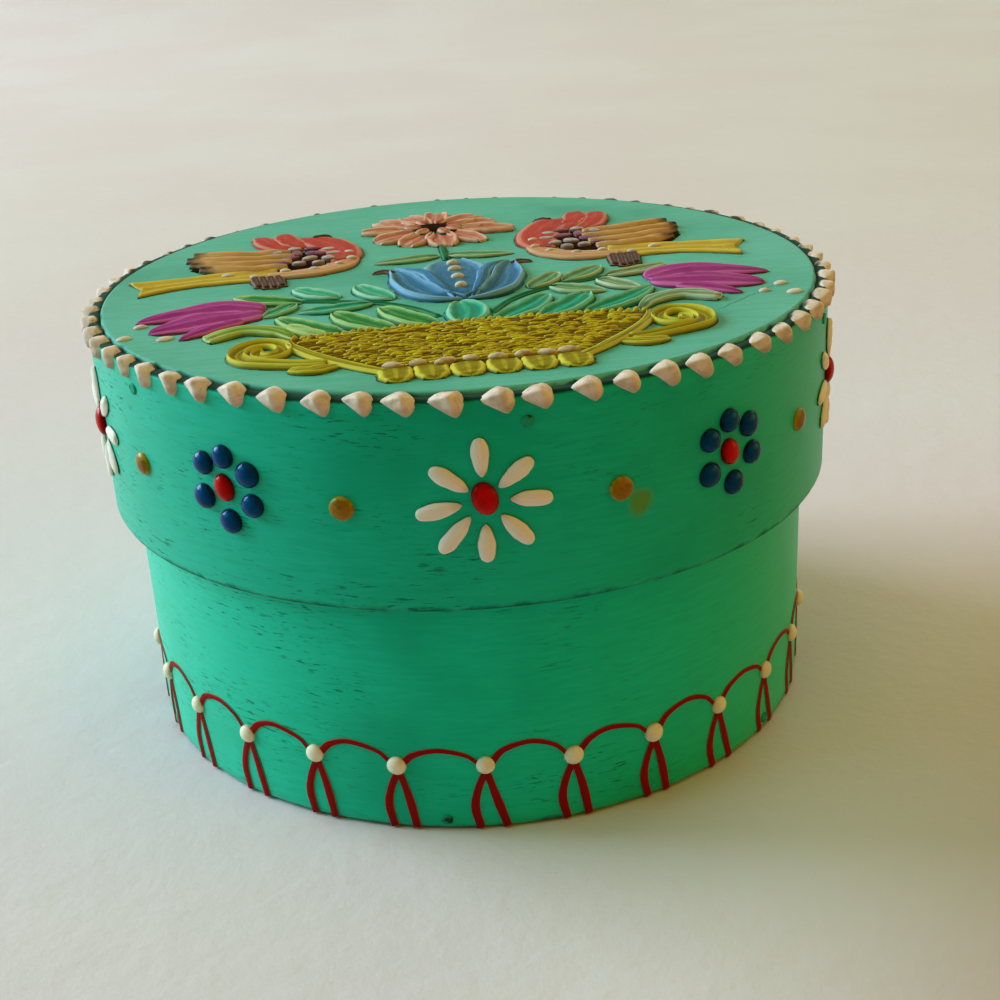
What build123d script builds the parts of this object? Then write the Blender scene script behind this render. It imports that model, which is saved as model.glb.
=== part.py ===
"""A round bentwood box with a lift-off lid and raised painted ornament.

Sizes are in millimetres. The origin is the centre of the underside and +Z is up. The front, from which the
picture on the lid is read, faces -Y. Angles round the box are in degrees from the front towards +X.
"""

from build123d import *
from math import acos, atan2, cos, degrees, hypot, pi, radians, sin
import os

# Box and lid
lid_radius = 50.0
lid_strip = 1.8
lid_height = 25.7
total_height = 57.7
lid_play = 1.1
body_strip = 2.0
base_thickness = 3.2
panel_thickness = 5.0
panel_proud = 0.4
panel_rounding = 0.5
edge_rounding = 0.4

# Scarf joint where the two bevelled ends of each bent strip are glued together, towards the back
scarf_angle = 154.0
scarf_length = 10.0
scarf_gap = 0.12

# Brads that nail each strip to its disc
brad_count = 6
brad_length = 9.0
brad_shank_radius = 0.5
brad_head_radius = 0.85
brad_head_depth = 0.5
base_brad_height = 1.6
base_brad_angle = -10.4
lid_brad_drop = 3.1
lid_brad_angle = 3.9

# Red lacing and cream dots round the foot of the body
lacing_count = 27
lacing_first_angle = -4.1
lacing_dot_height = 9.3
lacing_dot_diameter = 2.7
lacing_dot_rise = 1.0
lacing_arch_top = 12.0
lacing_arch_width = 0.8
lacing_leg_width = 0.9
lacing_leg_spread = 1.75
lacing_leg_bow = 1.35
lacing_foot_height = 0.9
lacing_paint = 0.3
lacing_clearance = 0.1

# Cream beads on the lid's top edge
bead_count = 62
bead_first_angle = -0.1
bead_radius = 1.45
bead_tail = 2.2
bead_nose = 1.5
bead_drop = 0.75
bead_inset = 0.1

# Flowers and dots round the lid's rim
flower_count = 10
flower_first_angle = -2.1
flower_height = 45.8
flower_heart_length = 3.8
flower_heart_width = 3.0
flower_heart_rise = 1.1
petal_count = 8
petal_distance = 5.1
petal_length = 4.8
petal_width = 2.0
petal_rise = 0.7
blue_dot_count = 6
blue_dot_distance = 4.0
blue_dot_diameter = 3.0
blue_dot_rise = 1.1
ochre_dot_diameter = 2.8
ochre_dot_rise = 0.8
ochre_dot_height = 45.0

# The raised picture on the lid, drawn about its own upright axis
picture_shift = -1.1
picture_lean = 1.4

# Basket
basket_rim_half = 21.0
basket_rim_y = -22.8
basket_side_bulge = (18.4, -31.5)
basket_base_half = 11.0
basket_base_y = -38.2
basket_rise = 1.7
basket_rounding = 0.6
foot_half = 11.8
foot_edge_y = -42.0
foot_scallops = 5
foot_scallop_depth = 0.9
foot_rise = 1.3
handle_width = 2.3
handle_rise = 1.3
handle_start = (22.0, -25.0)
handle_top = (25.6, -23.4)
handle_outside = (28.8, -27.4)
handle_end = (20.6, -34.9)
handle_curl = (24.9, -27.5)
handle_curl_diameter = 2.8
handle_toe = (20.9, -35.6, 3.4, 2.6)
basket_bead_count = 8
basket_bead_half = 10.0
basket_bead_y = -37.4
basket_bead_diameter = 2.1
basket_bead_rise = 0.9

# Leaves: where each starts, where its tip is, its width and its rise, on the right-hand side of the axis
rim_leaf_path = ((21.8, -21.4), (27.6, -18.8), (32.6, -21.3))
rim_leaf_width = 2.8
rim_leaf_rise = 1.3
middle_leaf = ((0.0, -22.4), (0.0, -12.0), 5.0, 1.3)
basket_leaves = (
    ((4.4, -22.4), (8.8, -12.8), 3.4, 1.2),
    ((9.4, -22.4), (14.6, -13.4), 4.0, 1.2),
    ((15.6, -22.3), (23.4, -13.6), 3.6, 1.2),
)
spray_leaves = (
    ((10.4, -9.0), (11.9, -0.4), 3.4, 0.9),
    ((13.9, -6.9), (20.2, 0.2), 3.6, 0.9),
    ((20.6, -5.6), (29.0, -0.6), 3.4, 0.9),
    ((10.9, -9.6), (18.8, -11.6), 3.6, 0.8),
    ((21.4, -7.2), (23.6, -13.0), 2.8, 0.9),
)
spray_stem_path = ((27.0, -5.3), (16.0, -7.0), (4.4, -16.4))
stem_width = 0.9
stem_rise = 0.5

# Tulips
blue_tulip_middle = ((0.0, -11.8), (0.0, 7.4), 9.0, 1.9)
blue_tulip_side = ((1.8, -11.2), (9.8, 6.4), 7.0, 1.6)
blue_tulip_dot_y = (3.0, 0.4, -2.4, -5.4)
tulip_dot_diameter = 1.7
tulip_dot_rise = 0.7
purple_tulip_petals = (
    ((26.4, -10.0), (40.2, -14.6), 6.2, 1.6),
    ((27.0, -8.4), (42.2, -9.0), 5.2, 1.4),
    ((28.0, -12.0), (36.0, -18.2), 4.4, 1.3),
)
seed_dots = ((42.6, -13.2), (40.6, -17.8), (43.4, -17.6))
seed_dot_diameter = 1.8
seed_dot_rise = 0.6

# Daisy above the tulip
daisy_y = 28.0
daisy_petal_count = 12
daisy_radius = 12.4
daisy_heart_radius = 2.5
daisy_heart_rise = 0.9
daisy_petal_width = 4.9
daisy_petal_rise = 1.5
daisy_petal_gap = 0.3
daisy_stem_path = ((0.0, 9.0), (0.0, 12.5), (0.0, 16.0))
daisy_leaf = ((0.8, 10.6), (10.0, 13.4), 3.2, 0.9)

# The bird on the right-hand side of the axis
bird_head = ((14.9, 12.4), (16.8, 30.4), 8.2, 2.0)
bird_crest = ((21.6, 20.4), (25.0, 32.4), 5.4, 1.6)
bird_neck = ((19.4, 11.2), (20.2, 20.6), 6.6, 2.0)
bird_breast = ((12.2, 16.4), (27.2, 5.4), 9.2, 1.6)
bird_feather_count = 4
bird_feather_root = ((23.4, 11.2), (24.2, 19.8))
bird_feather_tip = ((35.6, 14.8), (36.4, 22.6))
bird_feather_width = 3.2
bird_feather_rise = 1.6
bird_tail = ((26.4, 9.8), (42.8, 10.2), (40.4, 5.8), (42.6, 1.4), (33.0, 4.4), (25.6, 4.6))
bird_tail_rise = 1.0
bird_legs = (((24.6, 4.8), (23.8, -1.8)), ((27.2, 4.6), (26.4, -1.4)))
bird_leg_width = 1.8
bird_leg_rise = 0.9

# What follows from the sizes above
lid_inner_radius = lid_radius - lid_strip
body_radius = lid_inner_radius - lid_play
body_inner_radius = body_radius - body_strip
lid_bottom = total_height - lid_height
panel_top = total_height + panel_proud
body_height = panel_top - panel_thickness
smallest_piece = 0.2


def even_angles(count, first):
    """Angles of count places spread evenly round the box."""
    return [first + index * 360.0 / count for index in range(count)]


def turned(shape, angle):
    """The shape turned round the box's own axis."""
    return Rot(0, 0, angle) * shape


def ring_of(shape, count, first=0.0):
    """Copies of a shape at even angles round the box."""
    return [turned(shape, angle) for angle in even_angles(count, first)]


def save(name, *solids):
    """Write one node of the object to its own file."""
    group = Compound(list(solids))
    group.label = name
    export_step(group, f"parts/{name}.step")


def bent_strip(outer, inner, bottom, height):
    """A strip bent into a ring, whose two bevelled ends meet in a slanting scarf joint."""
    strip = Pos(0, 0, bottom) * extrude(Circle(outer) - Circle(inner), height)
    strip = chamfer(strip.edges(), edge_rounding)
    middle = Pos(0, -(outer + inner) / 2, bottom + height / 2)
    slant = degrees(atan2(outer - inner, scarf_length))
    slit = middle * Rot(0, 0, slant) * Box(2 * scarf_length, scarf_gap, 2 * height)
    return strip - turned(slit, scarf_angle)


def disc(radius, bottom, thickness):
    """A flat round board."""
    return Pos(0, 0, bottom + thickness / 2) * Cylinder(radius, thickness)


def brads(outer, height, first_angle):
    """Nails driven inwards through a strip, their heads flush with its outside."""
    shank_length = brad_length - brad_head_depth
    shank = Pos(0, -outer + brad_head_depth + shank_length / 2, height) * Rot(90, 0, 0) * Cylinder(
        brad_shank_radius, shank_length
    )
    head = Pos(0, -outer + brad_head_depth / 2, height) * Rot(90, 0, 0) * Cylinder(
        brad_head_radius, brad_head_depth
    )
    nail = (shank + head) & disc(outer, height - brad_length / 2, brad_length)
    return ring_of(nail, brad_count, first_angle)


def flank(reach, rise, belly):
    """Middle and end of the arc that falls from a drop's belly and crosses its plane at the given reach."""
    radius = (reach ** 2 + rise ** 2) / (2 * rise)
    angle = acos((radius - belly) / radius)
    middle = (radius * sin(angle / 2), belly - radius + radius * cos(angle / 2))
    return middle, (radius * sin(angle), 0)


def drop(tail, nose, width, rise):
    """A rounded drop along X whose top stands the given rise above its own XY plane.

    It reaches tail backwards and nose forwards from its widest place, where it is as wide as given.
    Its lower half lies under the plane, to be cut away by what it sits on.
    """
    belly = ((width / 2) ** 2 + rise ** 2) / (2 * rise)
    tail_middle, tail_end = flank(tail, rise, belly)
    nose_middle, nose_end = flank(nose, rise, belly)
    outline = ThreePointArc((-tail_end[0], 0), (-tail_middle[0], tail_middle[1]), (0, belly))
    outline += ThreePointArc((0, belly), nose_middle, nose_end)
    outline += Line(nose_end, (-tail_end[0], 0))
    return Pos(0, 0, rise - belly) * revolve(make_face(outline), Axis.X, 360)


def dome(diameter, rise):
    """A round raised dot, as a ball of which only the cap stands above its own XY plane."""
    ball_radius = ((diameter / 2) ** 2 + rise ** 2) / (2 * rise)
    return Pos(0, 0, rise - ball_radius) * Sphere(ball_radius)


def on_wall(shape, radius, height, turn=0.0, across=0.0):
    """Set a shape on a round wall at the front, facing outwards, and cut away what would lie in the wall."""
    wall = Plane(origin=(0, -radius, height), x_dir=(1, 0, 0), z_dir=(0, -1, 0))
    placed = turned(wall.location * Rot(0, 0, turn) * shape, degrees(across / radius))
    return placed - disc(radius, 0, total_height)


def wall_stroke(line, width, radius):
    """A flat painted stroke on a round wall, from a line drawn in the wall's own across and up directions."""
    face = trace(line, line_width=width)
    front = Plane(origin=(0, 0, 0), x_dir=(1, 0, 0), z_dir=(0, -1, 0))
    column = extrude(front.location * face, 2 * radius)
    skin = disc(radius + lacing_paint, 0, total_height) - disc(radius, 0, total_height)
    return column & skin


class Picture:
    """The raised picture: each piece is laid on the panel and cut where it meets what was laid before."""

    def __init__(self):
        self.laid = []
        self.place = Location((picture_shift, 0, panel_top), (0, 0, picture_lean))

    def lay(self, *blanks):
        """Lay pieces drawn about the picture's axis and return the solids that are left of them."""
        kept = []
        for blank in blanks:
            piece = split(blank, bisect_by=Plane.XY, keep=Keep.TOP)
            box = piece.bounding_box()
            near = [other for other, other_box in self.laid if meets(box, other_box)]
            if near:
                piece = piece - near
            solids = [solid for solid in piece.solids() if solid.volume > smallest_piece]
            self.laid.extend((solid, solid.bounding_box()) for solid in solids)
            kept.extend(solids)
        return kept

    def surface(self, x, y):
        """Height of the picture above the panel at a place."""
        heights = [0.0]
        for solid, box in self.laid:
            if box.min.X < x < box.max.X and box.min.Y < y < box.max.Y:
                hits = solid.find_intersection_points(Axis((x, y, -1), (0, 0, 1)))
                heights += [point.Z for point, _ in hits]
        return max(heights)

    def dot(self, x, y, diameter, rise):
        """A round dot on whatever the picture has at that place."""
        return self.lay(Pos(x, y, self.surface(x, y) - rise / 3) * dome(diameter, rise))

    def save(self, name, solids):
        """Write a node of the picture in its place on the lid."""
        save(name, *[self.place * solid for solid in solids])


def meets(one, other):
    """Whether two bounding boxes overlap."""
    return (
        one.min.X < other.max.X and other.min.X < one.max.X
        and one.min.Y < other.max.Y and other.min.Y < one.max.Y
    )


def leaf(start, tip, width, rise):
    """A pointed raised leaf from its start to its tip, widest nearer its start."""
    length = hypot(tip[0] - start[0], tip[1] - start[1])
    angle = degrees(atan2(tip[1] - start[1], tip[0] - start[0]))
    nose = max(0.42 * length, width / 2)
    share = nose / length
    widest = (start[0] + share * (tip[0] - start[0]), start[1] + share * (tip[1] - start[1]))
    return Pos(widest[0], widest[1], 0) * Rot(0, 0, angle + 180) * drop(length - nose, nose, width, rise)


def ribbon(path, width, rise):
    """A half-round raised line with rounded ends along a flat path."""
    belly = ((width / 2) ** 2 + rise ** 2) / (2 * rise)
    sunk = Pos(0, 0, rise - belly)
    start = Plane(origin=path @ 0, z_dir=path % 0)
    tube = sweep(start * Circle(belly), path)
    ends = [Pos(*(path @ share)) * Sphere(belly) for share in (0, 1)]
    return sunk * (tube + ends)


def arc(points):
    """An arc through three points of the picture."""
    return ThreePointArc(*points)


def both_sides(shape):
    """A shape and its mirror image across the picture's axis."""
    return [shape, mirror(shape, about=Plane.YZ)]


def make_body():
    """The box's wall, bottom and nails."""
    base = disc(body_inner_radius, 0, base_thickness)
    band = bent_strip(body_radius, body_inner_radius, 0, body_height)
    nails = brads(body_radius, base_brad_height, base_brad_angle)
    save("body_band", *(band - nails).solids())
    save("body_base", *(base - nails).solids())
    save("base_brads", *nails)


def make_lacing():
    """Red arches and legs with cream dots round the foot of the body."""
    half = pi * body_radius / lacing_count
    dot_radius = lacing_dot_diameter / 2
    reach = half - dot_radius * 0.8
    spring = lacing_dot_height + dot_radius * 0.8 + lacing_clearance
    arch = wall_stroke(
        ThreePointArc((-reach, spring), (0, lacing_arch_top), (reach, spring)), lacing_arch_width, body_radius
    )
    leg_top = lacing_dot_height - dot_radius - lacing_clearance
    leg_middle = (leg_top + lacing_foot_height) / 2
    lean_in = lacing_leg_width / 2 + lacing_clearance
    leg_line = ThreePointArc(
        (lean_in, leg_top), (lacing_leg_bow, leg_middle), (lacing_leg_spread, lacing_foot_height)
    )
    leg = wall_stroke(leg_line, lacing_leg_width, body_radius)
    dot = on_wall(dome(lacing_dot_diameter, lacing_dot_rise), body_radius, lacing_dot_height)
    step = 180.0 / lacing_count
    save("lacing_arches", *ring_of(arch, lacing_count, lacing_first_angle + step))
    legs = [copy for side in both_sides(leg) for copy in ring_of(side, lacing_count, lacing_first_angle)]
    save("lacing_legs", *legs)
    save("lacing_dots", *ring_of(dot, lacing_count, lacing_first_angle))


def make_lid():
    """The lid's rim, panel and nails."""
    panel = disc(lid_inner_radius, body_height, panel_thickness)
    panel = fillet(panel.edges().sort_by(Axis.Z)[-1], panel_rounding)
    band = bent_strip(lid_radius, lid_inner_radius, lid_bottom, lid_height)
    nails = brads(lid_radius, total_height - lid_brad_drop, lid_brad_angle)
    save("lid_band", *(band - nails).solids())
    save("lid_panel", *(panel - nails).solids())
    save("lid_brads", *nails)


def make_rim_beads():
    """Cream drops that straddle the lid's top outer edge, their points towards the left."""
    blank = drop(bead_tail, bead_nose, 2 * bead_radius, bead_radius)
    centre = Pos(0, -(lid_radius - bead_inset), total_height - bead_drop)
    bead = centre * blank - disc(lid_radius, lid_bottom, lid_height)
    save("rim_beads", *ring_of(bead, bead_count, bead_first_angle))


def make_rim_flowers():
    """White and blue flowers in turn round the lid's rim, with an ochre dot between each two."""
    petals = []
    for turn in even_angles(petal_count, 0.0):
        blank = drop(petal_length / 2, petal_length / 2, petal_width, petal_rise)
        across = petal_distance * cos(radians(turn))
        height = flower_height + petal_distance * sin(radians(turn))
        petals.append(on_wall(blank, lid_radius, height, turn, across))
    blues = []
    for turn in even_angles(blue_dot_count, 360.0 / blue_dot_count / 2):
        across = blue_dot_distance * cos(radians(turn))
        height = flower_height + blue_dot_distance * sin(radians(turn))
        blues.append(on_wall(dome(blue_dot_diameter, blue_dot_rise), lid_radius, height, 0.0, across))
    half = flower_heart_length / 2
    heart = on_wall(drop(half, half, flower_heart_width, flower_heart_rise), lid_radius, flower_height, 90.0)
    ochre = on_wall(dome(ochre_dot_diameter, ochre_dot_rise), lid_radius, ochre_dot_height)
    pair = flower_count // 2
    step = 360.0 / flower_count
    save("white_petals", *[copy for petal in petals for copy in ring_of(petal, pair, flower_first_angle)])
    save("blue_petals", *[copy for blue in blues for copy in ring_of(blue, pair, flower_first_angle + step)])
    save("flower_centres", *ring_of(heart, flower_count, flower_first_angle))
    save("ochre_dots", *ring_of(ochre, flower_count, flower_first_angle + step / 2))


def basket_outline():
    """The bowl's outline, seen from above."""
    rim_right = (basket_rim_half, basket_rim_y)
    rim_left = (-basket_rim_half, basket_rim_y)
    base_right = (basket_base_half, basket_base_y)
    base_left = (-basket_base_half, basket_base_y)
    bulge_left = (-basket_side_bulge[0], basket_side_bulge[1])
    outline = Line(rim_left, rim_right) + ThreePointArc(rim_right, basket_side_bulge, base_right)
    outline += Line(base_right, base_left) + ThreePointArc(base_left, bulge_left, rim_left)
    return outline


def foot_outline():
    """The basket's foot, whose lower edge is scalloped."""
    width = 2 * foot_half / foot_scallops
    top_left = (-foot_half, basket_base_y)
    top_right = (foot_half, basket_base_y)
    low_left = (-foot_half, foot_edge_y)
    low_right = (foot_half, foot_edge_y)
    outline = Line(low_left, top_left) + Line(top_left, top_right) + Line(top_right, low_right)
    for index in range(foot_scallops):
        start = (foot_half - index * width, foot_edge_y)
        middle = (start[0] - width / 2, foot_edge_y - foot_scallop_depth)
        end = (start[0] - width, foot_edge_y)
        outline += ThreePointArc(start, middle, end)
    return outline


def make_basket(picture):
    """Basket bowl, scalloped foot, curled handles and the row of beads between bowl and foot."""
    bowl = extrude(make_face(basket_outline()), basket_rise)
    bowl = fillet(bowl.faces().sort_by(Axis.Z)[-1].edges(), basket_rounding)
    picture.save("basket_bowl", picture.lay(bowl))
    picture.save("basket_foot", picture.lay(extrude(make_face(foot_outline()), foot_rise)))
    loop = ThreePointArc(handle_start, handle_top, handle_outside)
    sweep_back = TangentArc(loop @ 1, handle_end, tangent=loop % 1)
    scroll = ribbon(loop, handle_width, handle_rise) + ribbon(sweep_back, handle_width, handle_rise)
    curl = Pos(*handle_curl, 0) * dome(handle_curl_diameter, handle_rise)
    toe = Pos(handle_toe[0], handle_toe[1], 0) * drop(
        handle_toe[2] / 2, handle_toe[2] / 2, handle_toe[3], handle_rise
    )
    picture.save("basket_handles", picture.lay(*both_sides(scroll), *both_sides(curl), *both_sides(toe)))
    beads = []
    for index in range(basket_bead_count):
        x = -basket_bead_half + 2 * basket_bead_half * index / (basket_bead_count - 1)
        beads += picture.dot(x, basket_bead_y, basket_bead_diameter, basket_bead_rise)
    picture.save("basket_beads", beads)


def make_blue_tulip(picture):
    """The blue tulip above the basket, with its row of dots."""
    side = leaf(*blue_tulip_side)
    picture.save("blue_tulip", picture.lay(leaf(*blue_tulip_middle), *both_sides(side)))
    dots = []
    for y in blue_tulip_dot_y:
        dots += picture.dot(0, y, tulip_dot_diameter, tulip_dot_rise)
    picture.save("tulip_dots", dots)


def make_purple_tulips(picture):
    """The purple tulips at both sides, with their seeds."""
    petals = [side for petal in purple_tulip_petals for side in both_sides(leaf(*petal))]
    picture.save("purple_tulips", picture.lay(*petals))
    seeds = []
    for x, y in seed_dots:
        seeds += picture.dot(x, y, seed_dot_diameter, seed_dot_rise)
        seeds += picture.dot(-x, y, seed_dot_diameter, seed_dot_rise)
    picture.save("tulip_seeds", seeds)


def make_daisy(picture):
    """The daisy at the top of the picture, with its stem and leaves."""
    centre = Pos(0, daisy_y, 0)
    heart = centre * dome(2 * daisy_heart_radius, daisy_heart_rise)
    inner = daisy_heart_radius + daisy_petal_gap
    petals = []
    for turn in even_angles(daisy_petal_count, 0.0):
        petal = leaf((daisy_radius, 0), (inner, 0), daisy_petal_width, daisy_petal_rise)
        petals.append(centre * Rot(0, 0, turn) * petal)
    picture.save("daisy_heart", picture.lay(heart))
    picture.save("daisy_petals", picture.lay(*petals))
    picture.save("daisy_leaves", picture.lay(*both_sides(leaf(*daisy_leaf))))
    stem = ribbon(Line(daisy_stem_path[0], daisy_stem_path[-1]), stem_width, stem_rise)
    picture.save("daisy_stem", picture.lay(stem))


def make_birds(picture):
    """The two birds that face each other across the picture."""
    feathers = []
    for index in range(bird_feather_count):
        share = index / (bird_feather_count - 1)
        root = between(bird_feather_root[0], bird_feather_root[1], share)
        tip = between(bird_feather_tip[0], bird_feather_tip[1], share)
        feathers += both_sides(leaf(root, tip, bird_feather_width, bird_feather_rise))
    picture.save("bird_necks", picture.lay(*both_sides(leaf(*bird_neck))))
    picture.save("bird_wings", picture.lay(*feathers))
    picture.save("bird_heads", picture.lay(*both_sides(leaf(*bird_head))))
    picture.save("bird_crests", picture.lay(*both_sides(leaf(*bird_crest))))
    picture.save("bird_breasts", picture.lay(*both_sides(leaf(*bird_breast))))
    tail = extrude(make_face(Polyline(*bird_tail, close=True)), bird_tail_rise)
    picture.save("bird_tails", picture.lay(*both_sides(tail)))
    legs = [
        side for start, end in bird_legs
        for side in both_sides(ribbon(Line(start, end), bird_leg_width, bird_leg_rise))
    ]
    picture.save("bird_legs", picture.lay(*legs))


def between(start, end, share):
    """The point a share of the way from start to end."""
    return (start[0] + share * (end[0] - start[0]), start[1] + share * (end[1] - start[1]))


def make_leaves(picture):
    """Leaves behind the basket, the long leaves at its rim, and the sprays with their stems."""
    rim_leaf = ribbon(arc(rim_leaf_path), rim_leaf_width, rim_leaf_rise)
    picture.save("rim_leaves", picture.lay(*both_sides(rim_leaf)))
    tall = [side for shape in basket_leaves for side in both_sides(leaf(*shape))]
    picture.save("basket_leaves", picture.lay(leaf(*middle_leaf), *tall))
    light = [side for shape in spray_leaves for side in both_sides(leaf(*shape))]
    picture.save("spray_leaves", picture.lay(*light))
    stems = both_sides(ribbon(arc(spray_stem_path), stem_width, stem_rise))
    picture.save("spray_stems", picture.lay(*stems))


def main():
    """Build every piece and write it."""
    os.makedirs("parts", exist_ok=True)
    make_body()
    make_lacing()
    make_lid()
    make_rim_beads()
    make_rim_flowers()
    picture = Picture()
    make_basket(picture)
    make_blue_tulip(picture)
    make_birds(picture)
    make_purple_tulips(picture)
    make_daisy(picture)
    make_leaves(picture)


main()
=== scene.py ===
"""Looks of a round bentwood box: painted strips, raised dots and a picture on its lift-off lid.

Everything is in metres in the row's own frame: +Z up, the front at -Y, the origin under the box's
middle. Strokes, dots and the tables of their places are in millimetres.
"""

import logging
from dataclasses import dataclass, field, replace
from enum import Enum
from math import cos, pi, radians, sin, sqrt
from typing import Any, Callable

import bpy
import numpy as np
from mathutils import Matrix, Vector


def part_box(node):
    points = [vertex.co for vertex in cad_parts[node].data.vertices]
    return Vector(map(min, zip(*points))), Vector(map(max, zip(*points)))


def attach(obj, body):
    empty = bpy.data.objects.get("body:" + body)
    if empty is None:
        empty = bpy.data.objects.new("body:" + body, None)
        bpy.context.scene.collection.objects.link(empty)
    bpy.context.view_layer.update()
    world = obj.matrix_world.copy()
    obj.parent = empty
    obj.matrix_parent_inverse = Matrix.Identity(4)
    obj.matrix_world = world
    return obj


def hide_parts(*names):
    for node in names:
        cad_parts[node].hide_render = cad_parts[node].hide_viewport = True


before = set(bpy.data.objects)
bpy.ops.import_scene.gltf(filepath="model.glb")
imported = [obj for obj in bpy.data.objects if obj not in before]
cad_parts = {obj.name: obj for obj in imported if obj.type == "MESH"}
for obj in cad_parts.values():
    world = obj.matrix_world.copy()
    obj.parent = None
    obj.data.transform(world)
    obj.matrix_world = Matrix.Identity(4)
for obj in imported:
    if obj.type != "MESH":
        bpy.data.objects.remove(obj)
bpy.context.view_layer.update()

MM = 0.001
LOG = logging.getLogger("box")

Point = tuple[float, float]
Triple = tuple[float, float, float]
Colour = Triple
Faces = list[tuple[int, ...]]


def span(node: str) -> Triple:
    """Outer radius, lowest and highest point of a round CAD node, in metres."""
    low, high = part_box(node)
    return (high[0] - low[0]) / 2, low[2], high[2]


LID_RADIUS, LID_BOTTOM, LID_TOP = span("lid_band")
BODY_RADIUS, BODY_BOTTOM, BODY_TOP = span("body_band")
PANEL_RADIUS, _, PANEL_TOP = span("lid_panel")
BEAD_COUNT = 62
GRAIN_SIDEWAYS = (1.0, 14.0, 1.0)
GRAIN_ROUND = (1.0, 1.0, 14.0)
BOWL_STRAIGHT, BOWL_CURVED, BOWL_POWER = 0.2, 0.8, 1.7
BOWL_MIDDLE, BOWL_SIDES, BOWL_ENDS = 0.45, 0.35, 0.5


def arithmetic(operation: str, flipped: bool = False) -> Callable[["Signal", Any], "Signal"]:
    """An operator of a signal that adds one Math node."""
    def method(self: "Signal", other: "Signal | float") -> "Signal":
        """One node for both values."""
        values = (other, self) if flipped else (self, other)
        return self.graph.math(operation, *values)
    return method


class Signal:
    """A socket of a node tree that can be used in arithmetic."""

    __add__, __radd__ = arithmetic("ADD"), arithmetic("ADD", flipped=True)
    __sub__, __rsub__ = arithmetic("SUBTRACT"), arithmetic("SUBTRACT", flipped=True)
    __mul__, __rmul__ = arithmetic("MULTIPLY"), arithmetic("MULTIPLY", flipped=True)
    __truediv__ = arithmetic("DIVIDE")

    def __init__(self, graph: "Graph", socket: bpy.types.NodeSocket) -> None:
        """Wrap a socket of a graph."""
        self.graph = graph
        self.socket = socket

    def __abs__(self) -> "Signal":
        """Absolute value."""
        return self.graph.math("ABSOLUTE", self)


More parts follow.
